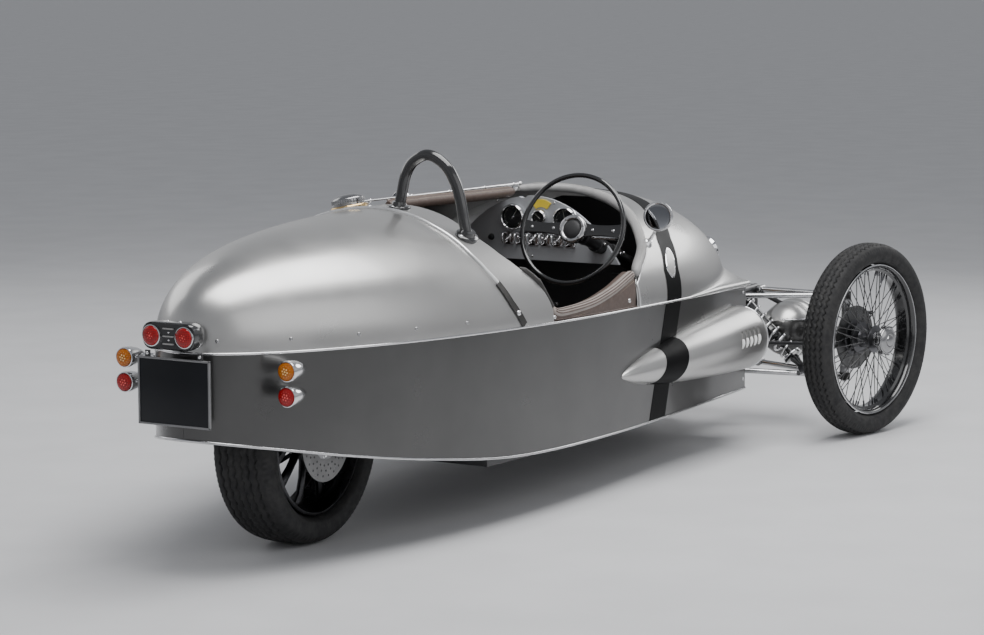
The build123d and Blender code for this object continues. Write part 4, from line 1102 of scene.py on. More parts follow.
# ------------------------------------------------------------------------ headlamps
g = Geo()
gg = Geo()
for s in (-1, 1):
    c0 = (2.490, s * 0.440, 0.328)
    g.add(lathe([(-0.084, 0.0), (-0.082, 0.020), (-0.075, 0.041), (-0.063, 0.060), (-0.046, 0.076), (-0.024, 0.0880), (0.000, 0.0945), (0.020, 0.0970), (0.0225, 0.0985),
                 (0.0255, 0.0985), (0.028, 0.0970), (0.050, 0.0985), (0.068, 0.0995), (0.072, 0.1025), (0.080, 0.1040), (0.0875, 0.1030), (0.089, 0.0985), (0.086, 0.0935),
                 (0.080, 0.0905), (0.074, 0.0900)], c0, (1, 0, 0), 96, caps=False), 0)
    # the bowl below its bead takes the dark lower-body paint, partly two-tone and partly painted shade on its underside
    for q_ in range(len(g.f) - 96 * 20, len(g.f)):
        if q_ >= 0 and len(g.f[q_]) >= 3 and np.mean([g.v[i_][2] for i_ in g.f[q_]]) < c0[2] + 0.044 and np.mean([g.v[i_][0] for i_ in g.f[q_]]) < c0[0] + 0.069:
            g.m[q_] = 4
    g.add(lathe([(0.079, 0.0900), (0.066, 0.0780), (0.046, 0.0560), (0.030, 0.0300), (0.026, 0.0)], c0, (1, 0, 0), 64, caps=False), 1)
    seam_pts = [(c0[0] + h_, c0[1] + e_ * sqrt(max(0.0, r_ * r_ - 0.045 ** 2)), c0[2] + 0.045) for e_, prof_ in ((s, 1),) for h_, r_ in
                ((-0.071, 0.0460), (-0.063, 0.060), (-0.046, 0.076), (-0.024, 0.0880), (0.000, 0.0945), (0.020, 0.0975), (0.050, 0.0990), (0.068, 0.1000))]
    g.add(sweep(smooth_path(seam_pts, 4), 0.0034, 10), 1)
    g.add(lathe([(0.026, 0.0), (0.030, 0.012), (0.052, 0.012), (0.060, 0.008), (0.062, 0.0)], c0, (1, 0, 0), 32), 2)
    # seam clip and bracket
    g.add(bevelled(2.562, 2.582, s * 0.440 - 0.008, s * 0.440 + 0.008, 0.328 - 0.112, 0.328 - 0.096, 0.002), 1)
    g.add(sweep(smooth_path([(2.536, s * 0.300, 0.447), (2.534, s * 0.340, 0.441), (2.528, s * 0.385, 0.424), (2.520, s * 0.415, 0.414)], 6), 0.0085, 14), 3)
    gg.add(lathe([(0.0800, 0.0898), (0.0880, 0.0850), (0.0950, 0.0660), (0.0990, 0.0380), (0.1008, 0.0)], c0, (1, 0, 0), 64))
c3, d3 = V3((2.300, -0.205, 0.615)), V3((0.90, -0.38, 0.15))
g.add(lathe([(-0.045, 0.034), (-0.020, 0.040), (0.006, 0.0445), (0.011, 0.0475), (0.017, 0.0500), (0.023, 0.0490), (0.0255, 0.0455), (0.0235, 0.0425), (0.019, 0.0400)], c3, d3, 72, caps=False), 1)
g.add(lathe([(0.019, 0.0400), (0.006, 0.033), (-0.006, 0.020), (-0.010, 0.0)], c3, d3, 48, caps=False), 1)
gg.add(lathe([(0.0195, 0.0398), (0.0265, 0.0360), (0.0315, 0.0220), (0.0340, 0.0)], c3, d3, 48))
piece("headlamp_bowls", g, ["silver", "chrome", "white_lens", "black", "lower"], replaces="headlamps", angle=42)
piece("headlamp_lenses", gg, "glass", replaces="headlamp_glasses", angle=60)

# ------------------------------------------------------------------- front corners
KX, KY, FWY, HUBZ = 2.420, 0.690, 0.776, 0.331


def zig(a, n):
    q = (a * n / tau) % 1.0
    return abs(2 * q - 1) * 2 - 1


def tyre_mesh(c, s, R, r_in, W, na, nphi, grooves, n_zig, groove_w, groove_d, amp, crown=0.80, side_bars=0):
    """Tyre with ribs parted by zigzag grooves. grooves are places across the tread, in metres from its middle."""
    rc, hh, hw = (R + r_in) / 2, (R - r_in) / 2, W / 2
    phis = np.concatenate([np.linspace(-2.62, -1.05, 16)[:-1], np.linspace(-1.05, 1.05, nphi), np.linspace(1.05, 2.62, 16)[1:]])
    v = []
    for i in range(na):
        a = tau * i / na
        z = zig(a, n_zig)
        for ph in phis:
            y = hw * np.sign(sin(ph)) * abs(sin(ph)) ** 0.80
            r = rc + hh * np.sign(cos(ph)) * abs(cos(ph)) ** crown
            if abs(ph) < 1.0:
                for gy in grooves:
                    k = abs(y - gy - amp * z)
                    if k < groove_w:
                        r -= groove_d * min(1.0, (groove_w - k) / (groove_w * 0.45))
            elif side_bars and abs(ph) < 1.32:
                if ((a * side_bars / tau) % 1.0) < 0.5:
                    r -= 0.0022
            if 1.86 < abs(ph) < 1.96 or 1.55 < abs(ph) < 1.60:
                y *= 1.018
            v.append((c[0] + r * cos(a), c[1] + s * y, c[2] + r * sin(a)))
    m = len(phis)
    f = []
    for i in range(na):
        j = (i + 1) % na
        for k in range(m - 1):
            f.append((i * m + k, j * m + k, j * m + k + 1, i * m + k + 1))
        f.append((i * m + m - 1, j * m + m - 1, j * m, i * m))
    return v, f


def spinner(c, s, g, mat):
    """Knock-off cap with eight short ribs round its side."""
    d = V3((0, s, 0))
    g.add(lathe([(0.046, 0.0300), (0.056, 0.0300), (0.060, 0.0340), (0.068, 0.0430), (0.0725, 0.0468), (0.0760, 0.0478), (0.0800, 0.0478), (0.0818, 0.0466), (0.0835, 0.0478), (0.0870, 0.0478),
                 (0.0900, 0.0466), (0.0915, 0.0440), (0.0905, 0.0415), (0.0925, 0.0390), (0.0965, 0.0330), (0.0985, 0.0230), (0.0975, 0.0190), (0.1000, 0.0180), (0.1015, 0.0120), (0.1020, 0.0)], c, d, 72), mat)
    for k in range(8):
        a = tau * k / 8 + 0.2
        e_ = V3((cos(a), 0, sin(a)))
        g.add(sweep([c + d * 0.070 + e_ * 0.0445, c + d * 0.0745 + e_ * 0.0492, c + d * 0.0885 + e_ * 0.0492], [0.0050, 0.0052, 0.0044], 14), mat)


for s, side in ((-1, "right"), (1, "left")):
    c0 = V3((KX, s * FWY, HUBZ))
    wb = side + "_wheel"
    piece("front_tyre_tread_" + side, tyre_mesh(c0, s, 0.331, 0.2575, 0.105, 588, 42, (-0.030, -0.0105, 0.0105, 0.030), 84, 0.0034, 0.0056, 0.0038, side_bars=147),
          "tyre", wb, replaces="front_tyre_" + side, angle=50, steer=s)
    g = Geo()
    # rim: drop centre, with rolled edges
    g.add(lathe([(-0.0395, 0.2500), (-0.0395, 0.2560), (-0.0370, 0.2585), (-0.0350, 0.2560), (-0.0340, 0.2505), (-0.0290, 0.2485), (-0.0180, 0.2470), (-0.0130, 0.2390),
                 (0.0130, 0.2390), (0.0180, 0.2470), (0.0290, 0.2485), (0.0340, 0.2505), (0.0350, 0.2560), (0.0370, 0.2585), (0.0395, 0.2560), (0.0395, 0.2500),
                 (0.0340, 0.2450), (0.0200, 0.2430), (0.0150, 0.2350), (-0.0150, 0.2350), (-0.0200, 0.2430), (-0.0340, 0.2450)], c0, (0, s, 0), 120, loop=True), 0)
    g.add(lathe([(0.0366, 0.2545), (0.0388, 0.2592), (0.0402, 0.2565), (0.0385, 0.2535)], c0, (0, s, 0), 120, loop=True), 2)
    g.add(lathe([(-0.0402, 0.2565), (-0.0388, 0.2590), (-0.0370, 0.2550), (-0.0385, 0.2535)], c0, (0, s, 0), 120, loop=True), 0)
    # wires from both flanges, crossing, with nipples at the rim
    for off, n_, a0, r0, rim_off in ((-0.0210, 24, 0.0, 0.0490, -0.006), (0.0365, 24, 7.5, 0.0415, 0.006), (0.0365, 12, 3.0, 0.0380, 0.010)):
        for k in range(n_):
            a = radians(a0 + 360.0 / n_ * k)
            lean = radians((16 if off < 0 else 21) * (1 if k % 2 else -1)) if n_ == 24 else 0.0
            p0 = c0 + V3(((r0) * cos(a), s * off, (r0) * sin(a)))
            r1 = 0.2358
            p1 = c0 + V3((r1 * cos(a + lean), s * rim_off, r1 * sin(a + lean)))
            g.add(sweep([p0, p1], 0.00165, 8), 0)
            dd = (p1 - p0) / np.linalg.norm(p1 - p0)
            g.add(sweep([p1 - dd * 0.016, p1 + dd * 0.001], 0.0032, 8), 1)
    # valve
    g.add(rod(c0 + V3((0.235 * cos(1.2), s * 0.004, 0.235 * sin(1.2))), c0 + V3((0.200 * cos(1.2), s * 0.010, 0.200 * sin(1.2))), 0.0036, 10), 1)
    piece("front_rim_wires_" + side, g, ["gloss", "dark_steel", "steel"], wb, replaces="front_rim_" + side, angle=45, steer=s)
    g = Geo()
    g.add(lathe([(-0.0400, 0.0125), (-0.0400, 0.0330), (-0.0300, 0.0400), (-0.0260, 0.0520), (-0.0225, 0.0550), (-0.0185, 0.0550), (-0.0165, 0.0500), (-0.0120, 0.0330),
                 (0.0000, 0.0270), (0.0200, 0.0260), (0.0290, 0.0290), (0.0330, 0.0430), (0.0355, 0.0465), (0.0390, 0.0465), (0.0410, 0.0420), (0.0440, 0.0290),
                 (0.0520, 0.0290), (0.0520, 0.0125)], c0, (0, s, 0), 72, loop=True), 1)
    spinner(c0, s, g, 0)
    # brake disc and its carrier; its drilled holes are not cut but painted as dark dots of shade on both faces
    g.add(lathe([(-0.0500, 0.0600), (-0.0500, 0.1095), (-0.0490, 0.1100), (-0.0475, 0.1100), (-0.0475, 0.1070), (-0.0455, 0.1070), (-0.0455, 0.1100), (-0.0440, 0.1100),
                 (-0.0430, 0.1095), (-0.0430, 0.0600)], c0, (0, s, 0), 96, loop=True), 2)
    for k in range(18):
        for q in (0.075, 0.086, 0.098):
            a = tau * k / 18 + q * 9
            g.add(lathe([(-0.0503, 0.0), (-0.0503, 0.0028), (-0.0498, 0.0034)], c0 + V3((q * cos(a), 0, q * sin(a))), (0, s, 0), 10), 3)
            g.add(lathe([(-0.0432, 0.0034), (-0.0427, 0.0028), (-0.0427, 0.0)], c0 + V3((q * cos(a), 0, q * sin(a))), (0, s, 0), 10), 3)
    g.add(lathe([(-0.0500, 0.0370), (-0.0500, 0.0600), (-0.0420, 0.0640), (-0.0400, 0.0600), (-0.0400, 0.0370)], c0, (0, s, 0), 72, loop=True), 1)
    for k in range(8):
        a = tau * k / 8
        g.add(hexbolt(c0 + V3((0.050 * cos(a), -s * 0.0500, 0.050 * sin(a))), (0, -s, 0), 0.0050, 0.0045), 0)
    piece("front_hub_turned_" + side, g, ["satin", "dark_steel", "disc", "dark_steel"], wb, replaces="front_hub_" + side, angle=38, steer=s)
    # knuckle fittings that ride with the upright
    g = Geo()
    for dz in (-0.030, 0.030):
        g.add(hexbolt((KX + 0.078, s * (KY + 0.0020), HUBZ + 0.040 + dz), (0, -s, 0), 0.0070, 0.0060), 0)
    g.add(bevelled(KX + 0.060, KX + 0.096, min(s * (KY - 0.010), s * (KY + 0.002)), max(s * (KY - 0.010), s * (KY + 0.002)), HUBZ + 0.012, HUBZ + 0.068, 0.004), 1)
    g.add(sweep(smooth_path([(KX + 0.078, s * (KY - 0.008), HUBZ + 0.064), (KX + 0.070, s * (KY - 0.030), HUBZ + 0.085), (KX + 0.040, s * (KY - 0.045), HUBZ + 0.100)], 8), 0.0042, 10), 2)
    g.add(lathe([(0.0, 0.0165), (0.004, 0.0175), (0.020, 0.0175), (0.024, 0.0150)], (KX, s * KY, 0.2060), (0, 0, 1), 32), 1)
    g.add(lathe([(0.0, 0.0150), (0.004, 0.0175), (0.020, 0.0175), (0.024, 0.0165)], (KX, s * KY, 0.4360), (0, 0, 1), 32), 1)
    piece("knuckle_fittings_" + side, g, ["steel", "alloy", "steel"], side + "_knuckle", steer=s)
    # coil-over damper
    a_, b_ = V3((2.368, s * 0.318, 0.446)), V3((2.368, s * 0.560, 0.214))
    d_ = (b_ - a_) / np.linalg.norm(b_ - a_)
    L_ = float(np.linalg.norm(b_ - a_))
    g = Geo()
    g.add(lathe([(0.006, 0.0080), (0.012, 0.0200), (0.020, 0.0225), (0.026, 0.0360), (0.031, 0.0365), (0.033, 0.0240), (0.150, 0.0235), (0.158, 0.0255), (0.172, 0.0255), (0.176, 0.0225),
                 (0.190, 0.0220), (0.192, 0.0090), (L_ - 0.064, 0.0085), (L_ - 0.062, 0.0355), (L_ - 0.054, 0.0365), (L_ - 0.050, 0.0180), (L_ - 0.030, 0.0130), (L_ - 0.010, 0.0125)], a_, d_, 40), 1)
    for k in range(9):
        g.add(lathe([(0.096 + 0.0055 * k, 0.0235), (0.0975 + 0.0055 * k, 0.0252), (0.099 + 0.0055 * k, 0.0235)], a_, d_, 32), 1)
    g.add(helix(a_ + d_ * 0.034, b_ - d_ * 0.066, 0.0300, 0.0046, 8.5), 0)
    g.add(lathe([(-0.016, 0.0090), (-0.015, 0.0150), (0.015, 0.0150), (0.016, 0.0090)], a_, (1, 0, 0), 28), 2)
    g.add(lathe([(-0.014, 0.0080), (-0.013, 0.0140), (0.013, 0.0140), (0.014, 0.0080)], b_ - d_ * 0.004, (1, 0, 0), 28), 2)
    g.add(hexbolt(a_ + V3((-0.016, 0, 0)), (-1, 0, 0), 0.0078, 0.006), 2)
    piece("front_coil_damper_" + side, g, ["chrome", "gloss", "dark_steel"], replaces="front_dampers" if s < 0 else (), angle=40)
    # bolts where the arms meet the frame
    g = Geo()
    for dx in (-0.115, 0.115):
        for zz in (0.200, 0.462):
            for e_ in (-1, 1):
                g.add(hexbolt((KX + dx + e_ * 0.018, s * 0.322, zz), (e_, 0, 0), 0.0080, 0.0065), 0)
    piece("arm_bolts_" + side, g, "steel")


# ---------------------------------------------------------------------- rear wheel
RZ = 0.3035
rc0 = V3((0, 0, RZ))
piece("rear_tyre_tread", tyre_mesh(rc0, 1, 0.3035, 0.2195, 0.182, 440, 52, (-0.056, -0.033, -0.011, 0.011, 0.033, 0.056), 54, 0.0032, 0.0055, 0.0040, crown=0.50, side_bars=108),
      "tyre", "rear_wheel", replaces="rear_tyre", angle=50)
g = Geo()
g.add(lathe([(-0.0760, 0.2120), (-0.0760, 0.2180), (-0.0735, 0.2210), (-0.0700, 0.2180), (-0.0690, 0.2130), (-0.0500, 0.2100), (-0.0380, 0.1980), (0.0300, 0.1980), (0.0420, 0.2100),
             (0.0690, 0.2130), (0.0700, 0.2180), (0.0735, 0.2210), (0.0760, 0.2180), (0.0760, 0.2120), (0.0700, 0.2070), (0.0460, 0.2040), (0.0330, 0.1930), (-0.0410, 0.1930),
             (-0.0540, 0.2040), (-0.0700, 0.2070)], rc0, (0, 1, 0), 128, loop=True), 0)
# dished centre: ten tapered spokes between hub and rim
for k in range(10):
    a = tau * k / 10 + 0.12
    e_ = V3((cos(a), 0, sin(a)))
    t_ = V3((-sin(a), 0, cos(a)))
    rows = []
    for r_, w_, th_, yo in ((0.048, 0.0150, 0.011, -0.022), (0.075, 0.0125, 0.010, -0.026), (0.120, 0.0120, 0.009, -0.028), (0.165, 0.0150, 0.009, -0.026), (0.194, 0.0230, 0.010, -0.020)):
        ring = []
        for j in range(12):
            b_ = tau * j / 12
            ring.append(rc0 + e_ * r_ + t_ * (w_ * np.sign(cos(b_)) * abs(cos(b_)) ** 0.7) + V3((0, yo + th_ * np.sign(sin(b_)) * abs(sin(b_)) ** 0.7, 0)))
        rows.append(ring)
    v = [p_ for r_ in rows for p_ in r_]
    f = [(i * 12 + j, i * 12 + (j + 1) % 12, (i + 1) * 12 + (j + 1) % 12, (i + 1) * 12 + j) for i in range(4) for j in range(12)]
    f += [tuple(range(12)), tuple(range(48, 60))]
    g.add((v, f), 0)
g.add(rod(rc0 + V3((0.196 * cos(0.4), -0.012, 0.196 * sin(0.4))), rc0 + V3((0.165 * cos(0.4), -0.020, 0.165 * sin(0.4))), 0.0042, 10), 1)
piece("rear_rim_spoked", g, ["rim_dark", "dark_steel"], "rear_wheel", replaces="rear_rim", angle=40)
g = Geo()
g.add(lathe([(-0.0860, 0.0130), (-0.0860, 0.0440), (-0.0700, 0.0500), (-0.0300, 0.0540), (-0.0100, 0.0540), (0.0700, 0.0500), (0.0860, 0.0440), (0.0860, 0.0130)], rc0, (0, 1, 0), 72, loop=True), 1)
# toothed pulley
NT = 62
v, f = [], []
for side_y in (0.092, 0.114):
    for i in range(NT * 4):
        a = tau * i / (NT * 4)
        r_ = 0.104 if (i % 4) in (0, 1) else 0.0985
        v.append(rc0 + V3((r_ * cos(a), side_y, r_ * sin(a))))
n4 = NT * 4
for i in range(n4):
    v_ = (i + 1) % n4
    f.append((i, v_, n4 + v_, n4 + i))
f.append(tuple(range(n4))); f.append(tuple(reversed(range(n4, 2 * n4))))
g.add((v, f), 2)
g.add(lathe([(0.086, 0.058), (0.088, 0.062), (0.0935, 0.094), (0.0935, 0.050), (0.086, 0.040)], rc0, (0, 1, 0), 72, loop=True), 1)
g.add(lathe([(0.0900, 0.1065), (0.0915, 0.1080), (0.0930, 0.1065), (0.0930, 0.0900), (0.0900, 0.0900)], rc0, (0, 1, 0), 96, loop=True), 1)
g.add(lathe([(-0.0960, 0.0600), (-0.0960, 0.1245), (-0.0950, 0.1250), (-0.0910, 0.1250), (-0.0900, 0.1245), (-0.0900, 0.0600)], rc0, (0, 1, 0), 110, loop=True), 3)
# drilled holes in the rear disc are not cut but painted as black dots of shade on its outer face
for k in range(24):
    for q in (0.078, 0.093, 0.108):
        a = tau * k / 24 + q * 8
        g.add(lathe([(-0.0963, 0.0), (-0.0963, 0.0030), (-0.0958, 0.0037)], rc0 + V3((q * cos(a), 0, q * sin(a))), (0, 1, 0), 10), 4)
g.add(lathe([(-0.0990, 0.0400), (-0.0990, 0.0580), (-0.0970, 0.0620), (-0.0860, 0.0620), (-0.0860, 0.0400)], rc0, (0, 1, 0), 64, loop=True), 1)
for k in range(6):
    a = tau * k / 6 + 0.2
    g.add(hexbolt(rc0 + V3((0.050 * cos(a), -0.0985, 0.050 * sin(a))), (0, -1, 0), 0.0062, 0.0055), 0)
piece("rear_hub_turned", g, ["chrome", "alloy", "dark_steel", "disc", "plastic"], "rear_wheel", replaces="rear_hub", angle=36)

# rear coil dampers, swing arm fittings
for s, side in ((-1, "right"), (1, "left")):
    a_, b_ = V3((0.150, s * 0.152, 0.314)), V3((0.330, s * 0.162, 0.560))
    d_ = (b_ - a_) / np.linalg.norm(b_ - a_)
    L_ = float(np.linalg.norm(b_ - a_))
    g = Geo()
    g.add(lathe([(0.002, 0.0085), (0.030, 0.0090), (0.034, 0.0320), (0.041, 0.0330), (0.044, 0.0100), (0.090, 0.0095), (0.092, 0.0205), (L_ - 0.046, 0.0210), (L_ - 0.042, 0.0330), (L_ - 0.034, 0.0330),
                 (L_ - 0.030, 0.0180), (L_ - 0.008, 0.0120), (L_, 0.0090)], a_, d_, 36), 1)
    g.add(helix(a_ + d_ * 0.045, b_ - d_ * 0.047, 0.0268, 0.0042, 7.5), 0)
    g.add(lathe([(-0.013, 0.009), (-0.012, 0.0145), (0.012, 0.0145), (0.013, 0.009)], b_, (0, 1, 0), 28), 2)
    piece("rear_coil_damper_" + side, g, ["gloss", "steel", "dark_steel"], replaces="rear_dampers" if s < 0 else (), angle=40)
g = Geo()
for s in (-1, 1):
    g.add(hexbolt((0, s * 0.166, RZ), (0, s, 0), 0.0150, 0.0120), 0)
    g.add(bevelled(-0.052, -0.020, min(s * 0.140, s * 0.164), max(s * 0.140, s * 0.164), RZ - 0.014, RZ + 0.014, 0.004), 1)
    g.add(rod((-0.075, s * 0.152, RZ), (-0.045, s * 0.152, RZ), 0.0050, 12), 0)
    g.add(hexbolt((-0.070, s * 0.152, RZ), (-1, 0, 0), 0.0070, 0.0060), 0)
g.add(bevelled(0.075, 0.130, -0.128, -0.082, RZ - 0.030, RZ + 0.045, 0.006), 1)
g.add(hexbolt((0.090, -0.128, RZ + 0.022), (0, -1, 0), 0.0060, 0.0050), 0)
g.add(hexbolt((0.116, -0.128, RZ - 0.010), (0, -1, 0), 0.0060, 0.0050), 0)
g.add(rod((0.100, -0.128, RZ), (0.100, -0.152, RZ - 0.010), 0.008, 12), 1)
piece("swing_arm_fittings", g, ["steel", "alloy"])

# toothed belt between the motor's pulley and the wheel's
mp = V3((0.488, 0, 0.322))
dx_, dz_ = mp[0], mp[2] - RZ
dist_ = hypot(dx_, dz_)
base_ = atan2(dz_, dx_)
r1_, r2_ = 0.1062, 0.0382
off_ = acos((r1_ - r2_) / dist_)
path = []
for a in np.linspace(base_ + off_, base_ + tau - off_, 70):
    path.append((r1_ * cos(a), 0.103, RZ + r1_ * sin(a)))
pa, pb = V3(path[-1]), V3((mp[0] + r2_ * cos(base_ - off_), 0.103, mp[2] + r2_ * sin(base_ - off_)))
path += [pa + (pb - pa) * t for t in np.linspace(0.05, 1, 16)]
for a in np.linspace(base_ - off_, base_ + off_, 24)[1:]:
    path.append((mp[0] + r2_ * cos(a), 0.103, mp[2] + r2_ * sin(a)))
pa, pb = V3(path[-1]), V3(path[0])
path += [pa + (pb - pa) * t for t in np.linspace(0.06, 0.94, 16)]
g = Geo()
g.add(sweep(path, 1.0, closed=True, section=[(-0.0100, -0.0016), (0.0100, -0.0016), (0.0100, 0.0016), (-0.0100, 0.0016)], up=[tuple(V3(p_) * 0 + V3((0, 0, 0.0)) + (V3(p_) - V3((mp[0] * 0.4, 0.103, RZ)))) for p_ in path]), 0)
piece("drive_belt", g, "hose", angle=50)

# -------------------------------------------------------------------------- cockpit
def resample(line, pitch):
    """Points and directions at even steps along a line."""
    p = np.array(line, float)
    seg = np.linalg.norm(np.diff(p, axis=0), axis=1)
    at_ = np.concatenate([[0], np.cumsum(seg)])
    n = max(2, int(at_[-1] / pitch))
    out = []
    for k in range(n):
        d0 = at_[-1] * (k + 0.18) / n
        d1 = at_[-1] * (k + 0.82) / n
        out.append([np.array([np.interp(q, at_, p[:, i]) for i in range(3)]) for q in (d0, d1)])
    return out


def stitches(line, pitch=0.0066, r=0.00075):
    g = Geo()
    for a, b in resample(line, pitch):
        m = (a + b) / 2
        g.add(sweep([a, m, b], [r * 0.55, r, r * 0.55], 6))
    return g.v, g.f


def cushion(put, tick, flutes, depth, nu=64, nv=120, crown=0.012, power=8.0, end_band=0.80):
    """Padded slab: put(u, v, h) places a local point; tick is its half thickness."""
    top, bot = [], []
    for i in range(nu + 1):
        rt, rb = [], []
        for j in range(nv + 1):
            u, v = -cos(pi * i / nu), -cos(pi * j / nv)
            u, v = 0.55 * u + 0.45 * (2 * i / nu - 1), 0.45 * v + 0.55 * (2 * j / nv - 1)
            m = max(abs(u), abs(v))
            k = m / ((abs(u) ** power + abs(v) ** power) ** (1 / power)) if m > 1e-9 else 1.0
            uu, vv = u * k, v * k
            e = max(0.0, 1 - m ** 7) ** 0.42
            h = tick * e + crown * (1 - uu * uu) * (1 - vv * vv)
            fade = min(1.0, max(0.0, (end_band - abs(uu)) / 0.06)) * min(1.0, max(0.0, (0.90 - abs(vv)) / 0.05))
            ripple = 1 - abs(sin(pi * flutes * (vv + 1) / 2)) ** 0.55
            h -= depth * ripple * fade
            edge_seam = max(0.0, 1 - abs(max(abs(uu) / (end_band + 0.03), abs(vv) / 0.91) - 1) / 0.018)
            h -= depth * 0.8 * edge_seam
            rt.append(put(uu, vv, h))
            rb.append(put(uu, vv, -tick * e))
        top.append(rt)
        bot.append(rb)
    return shell(np.array(top), np.array(bot))


def slab_loop(put, h=0.0, k=1.0, n=160, power=8.0):
    pts = []
    for i in range(n):
        a = tau * i / n
        c_, s_ = cos(a), sin(a)
        r = 1 / ((abs(c_) ** power + abs(s_) ** power) ** (1 / power))
        pts.append(put(c_ * r * k, s_ * r * k, h))
    return pts


for s, side in ((-1, "right"), (1, "left")):
    cy = s * 0.190

    def on_base(u, v, h):
        return (0.909 + u * 0.208, cy + v * 0.174, 0.270 + h + 0.014 * max(0.0, u) ** 3)

    def on_back(u, v, h):
        xl, zl = 0.050 + h, 0.200 + u * 0.192
        return (0.620 + xl * cos(radians(14)) - zl * sin(radians(14)), cy + v * 0.172, 0.340 + xl * sin(radians(14)) + zl * cos(radians(14)))
    g = Geo()
    g.add(cushion(on_base, 0.046, 7, 0.0062), 0)
    g.add(sweep(slab_loop(on_base, 0.0, 1.004), 0.0042, 10, closed=True), 1)
    for v in (-0.91, 0.91):
        g.add(stitches([on_base(u, v * 0.955, 0.0455) for u in np.linspace(-0.74, 0.74, 30)]), 2)
    g.add(stitches([on_base(0.885, v, 0.0425) for v in np.linspace(-0.8, 0.8, 30)]), 2)
    o = piece("seat_cushion_" + side, g, ["brown", "brown_pale", "thread"], replaces="seat_cushions" if s < 0 else (), angle=70)
    g = Geo()
    g.add(cushion(on_back, 0.040, 7, 0.0060), 0)
    g.add(sweep(slab_loop(on_back, 0.0, 1.004), 0.0042, 10, closed=True), 1)
    for v in (-0.91, 0.91):
        g.add(stitches([on_back(u, v * 0.955, 0.0400) for u in np.linspace(-0.74, 0.74, 30)]), 2)
    g.add(stitches([on_back(0.885, v, 0.0370) for v in np.linspace(-0.8, 0.8, 30)]), 2)
    o = piece("seat_back_" + side, g, ["brown", "brown_pale", "thread"], replaces="seat_backs" if s < 0 else (), angle=70)


# elbow pad on the cut-down side
def pad_out(x):
    return -np.interp(x, [0.690, 0.780, 0.860, 0.950, 1.080, 1.222], [0.4405, 0.4500, 0.4560, 0.4610, 0.4635, 0.4625])


def pad_in(x):
    return -np.interp(x, [0.690, 0.780, 0.950, 1.100, 1.222], [0.394, 0.404, 0.413, 0.412, 0.405])


def pad_top(x):
    return float(np.interp(x, pad_curve[:, 0], pad_curve[:, 2]))


pad_curve = np.array(smooth_path([(a, 0, b) for a, b in ((0.683, 0.627), (0.728, 0.604), (0.792, 0.602), (0.924, 0.609), (1.059, 0.631), (1.199, 0.665), (1.230, 0.669))], 12))


def lean(x, z):
    """How far the body's flank leans inwards at height z."""
    b, h = bh(x)
    return 0.3 * b * (1 - sqrt(max(0.0, 1 - (max(0.0, z - mould(x)) / h) ** 2)))


g = Geo()
rows, roll = [], []
xs_pad = np.concatenate([np.linspace(0.691, 0.700, 4)[:-1], np.linspace(0.700, 1.212, 60), np.linspace(1.212, 1.221, 4)[1:]])
for x in xs_pad:
    e = min(1.0, (min(x - 0.690, 1.222 - x) + 0.0004) / 0.010) ** 0.45
    yo, yi = pad_out(x), pad_in(x)
    zb = mould(x) + 0.0015
    zt = pad_top(x) - 0.004
    H_ = zt - zb
    ym, zm = (yo + yi) / 2, zb + 0.5 * H_
    sec = [(yo + 0.001, zb), (yo - 0.0022, zb + 0.22 * H_), (yo - 0.0032, zb + 0.52 * H_), (yo - 0.0010, zb + 0.82 * H_), (yo + 0.006, zt - 0.002), (yo + 0.024, zt), (yi - 0.012, zt - 0.002),
           (yi - 0.002, zb + 0.84 * H_), (yi, zb + 0.55 * H_), (yi - 0.001, zb + 0.22 * H_), (yi - 0.004, zb), ((yo + yi) / 2, zb)]
    sec = smooth_path([(0, a, b) for a, b in sec], 4, closed=True)
    rows.append([(x, ym + (q[1] - ym) * (0.55 + 0.45 * e) + (lean(x, q[2]) if q[1] < ym else lean(x, q[2]) * 0.4), zm + (q[2] - zm) * (0.55 + 0.45 * e)) for q in sec])
    roll.append((x, yo + 0.0085 + lean(x, zt), zt + 0.004 - 0.0125))
ns_ = len(rows[0])
v = [p_ for r_ in rows for p_ in r_]
f = [(i * ns_ + j, i * ns_ + (j + 1) % ns_, (i + 1) * ns_ + (j + 1) % ns_, (i + 1) * ns_ + j) for i in range(len(rows) - 1) for j in range(ns_)]
f += [tuple(range(ns_)), tuple(range((len(rows) - 1) * ns_, len(rows) * ns_))]
g.add((v, f), 0)
rr = [0.0150 * min(1.0, 0.35 + 0.65 * min(1.0, min(p_[0] - 0.690, 1.222 - p_[0]) / 0.012)) for p_ in roll]
g.add(sweep(roll, rr, 22), 1)
for q in (0.10, 0.62, 1.14):
    g.add(sweep([(p_[0], p_[1] - 0.0139 * cos(q), p_[2] + 0.0139 * sin(q)) for p_ in roll[4:-4]], 0.0025, 10), 0)


def pad_face(x, dz, out=0.0030):
    """Point on the pad's outer face, dz under its top."""
    z = pad_top(x) - 0.004 - dz
    return (x, pad_out(x) - out + lean(x, z), z)


for dz in (0.0205, 0.0262):
    g.add(stitches([pad_face(x, dz, 0.0012 if dz < 0.022 else 0.0022) for x in np.linspace(0.745 if dz > 0.022 else 0.706, 1.208, 60)]), 2)
g.add(sweep([(x, pad_out(x) - 0.0014, mould(x) + 0.0050) for x in np.linspace(0.694, 1.219, 50)], 0.0030, 10), 0)
g.add(stitches([(x, pad_in(x) + 0.0008, mould(x) + 0.0415) for x in np.linspace(0.955, 1.208, 30)]), 2)
o = piece("elbow_pad_leather", g, ["brown", "brown_pale", "thread"], replaces="elbow_pad", angle=70)
g = Geo()
for x, up_ in ((0.704, 0.013), (1.165, 0.026)):
    g.add(dome((x, pad_out(x) - 0.0022 + lean(x, mould(x) + up_), mould(x) + up_), (0, -1, 0.05), 0.0074, 0.0050, 20))
piece("elbow_pad_studs", g, "chrome")

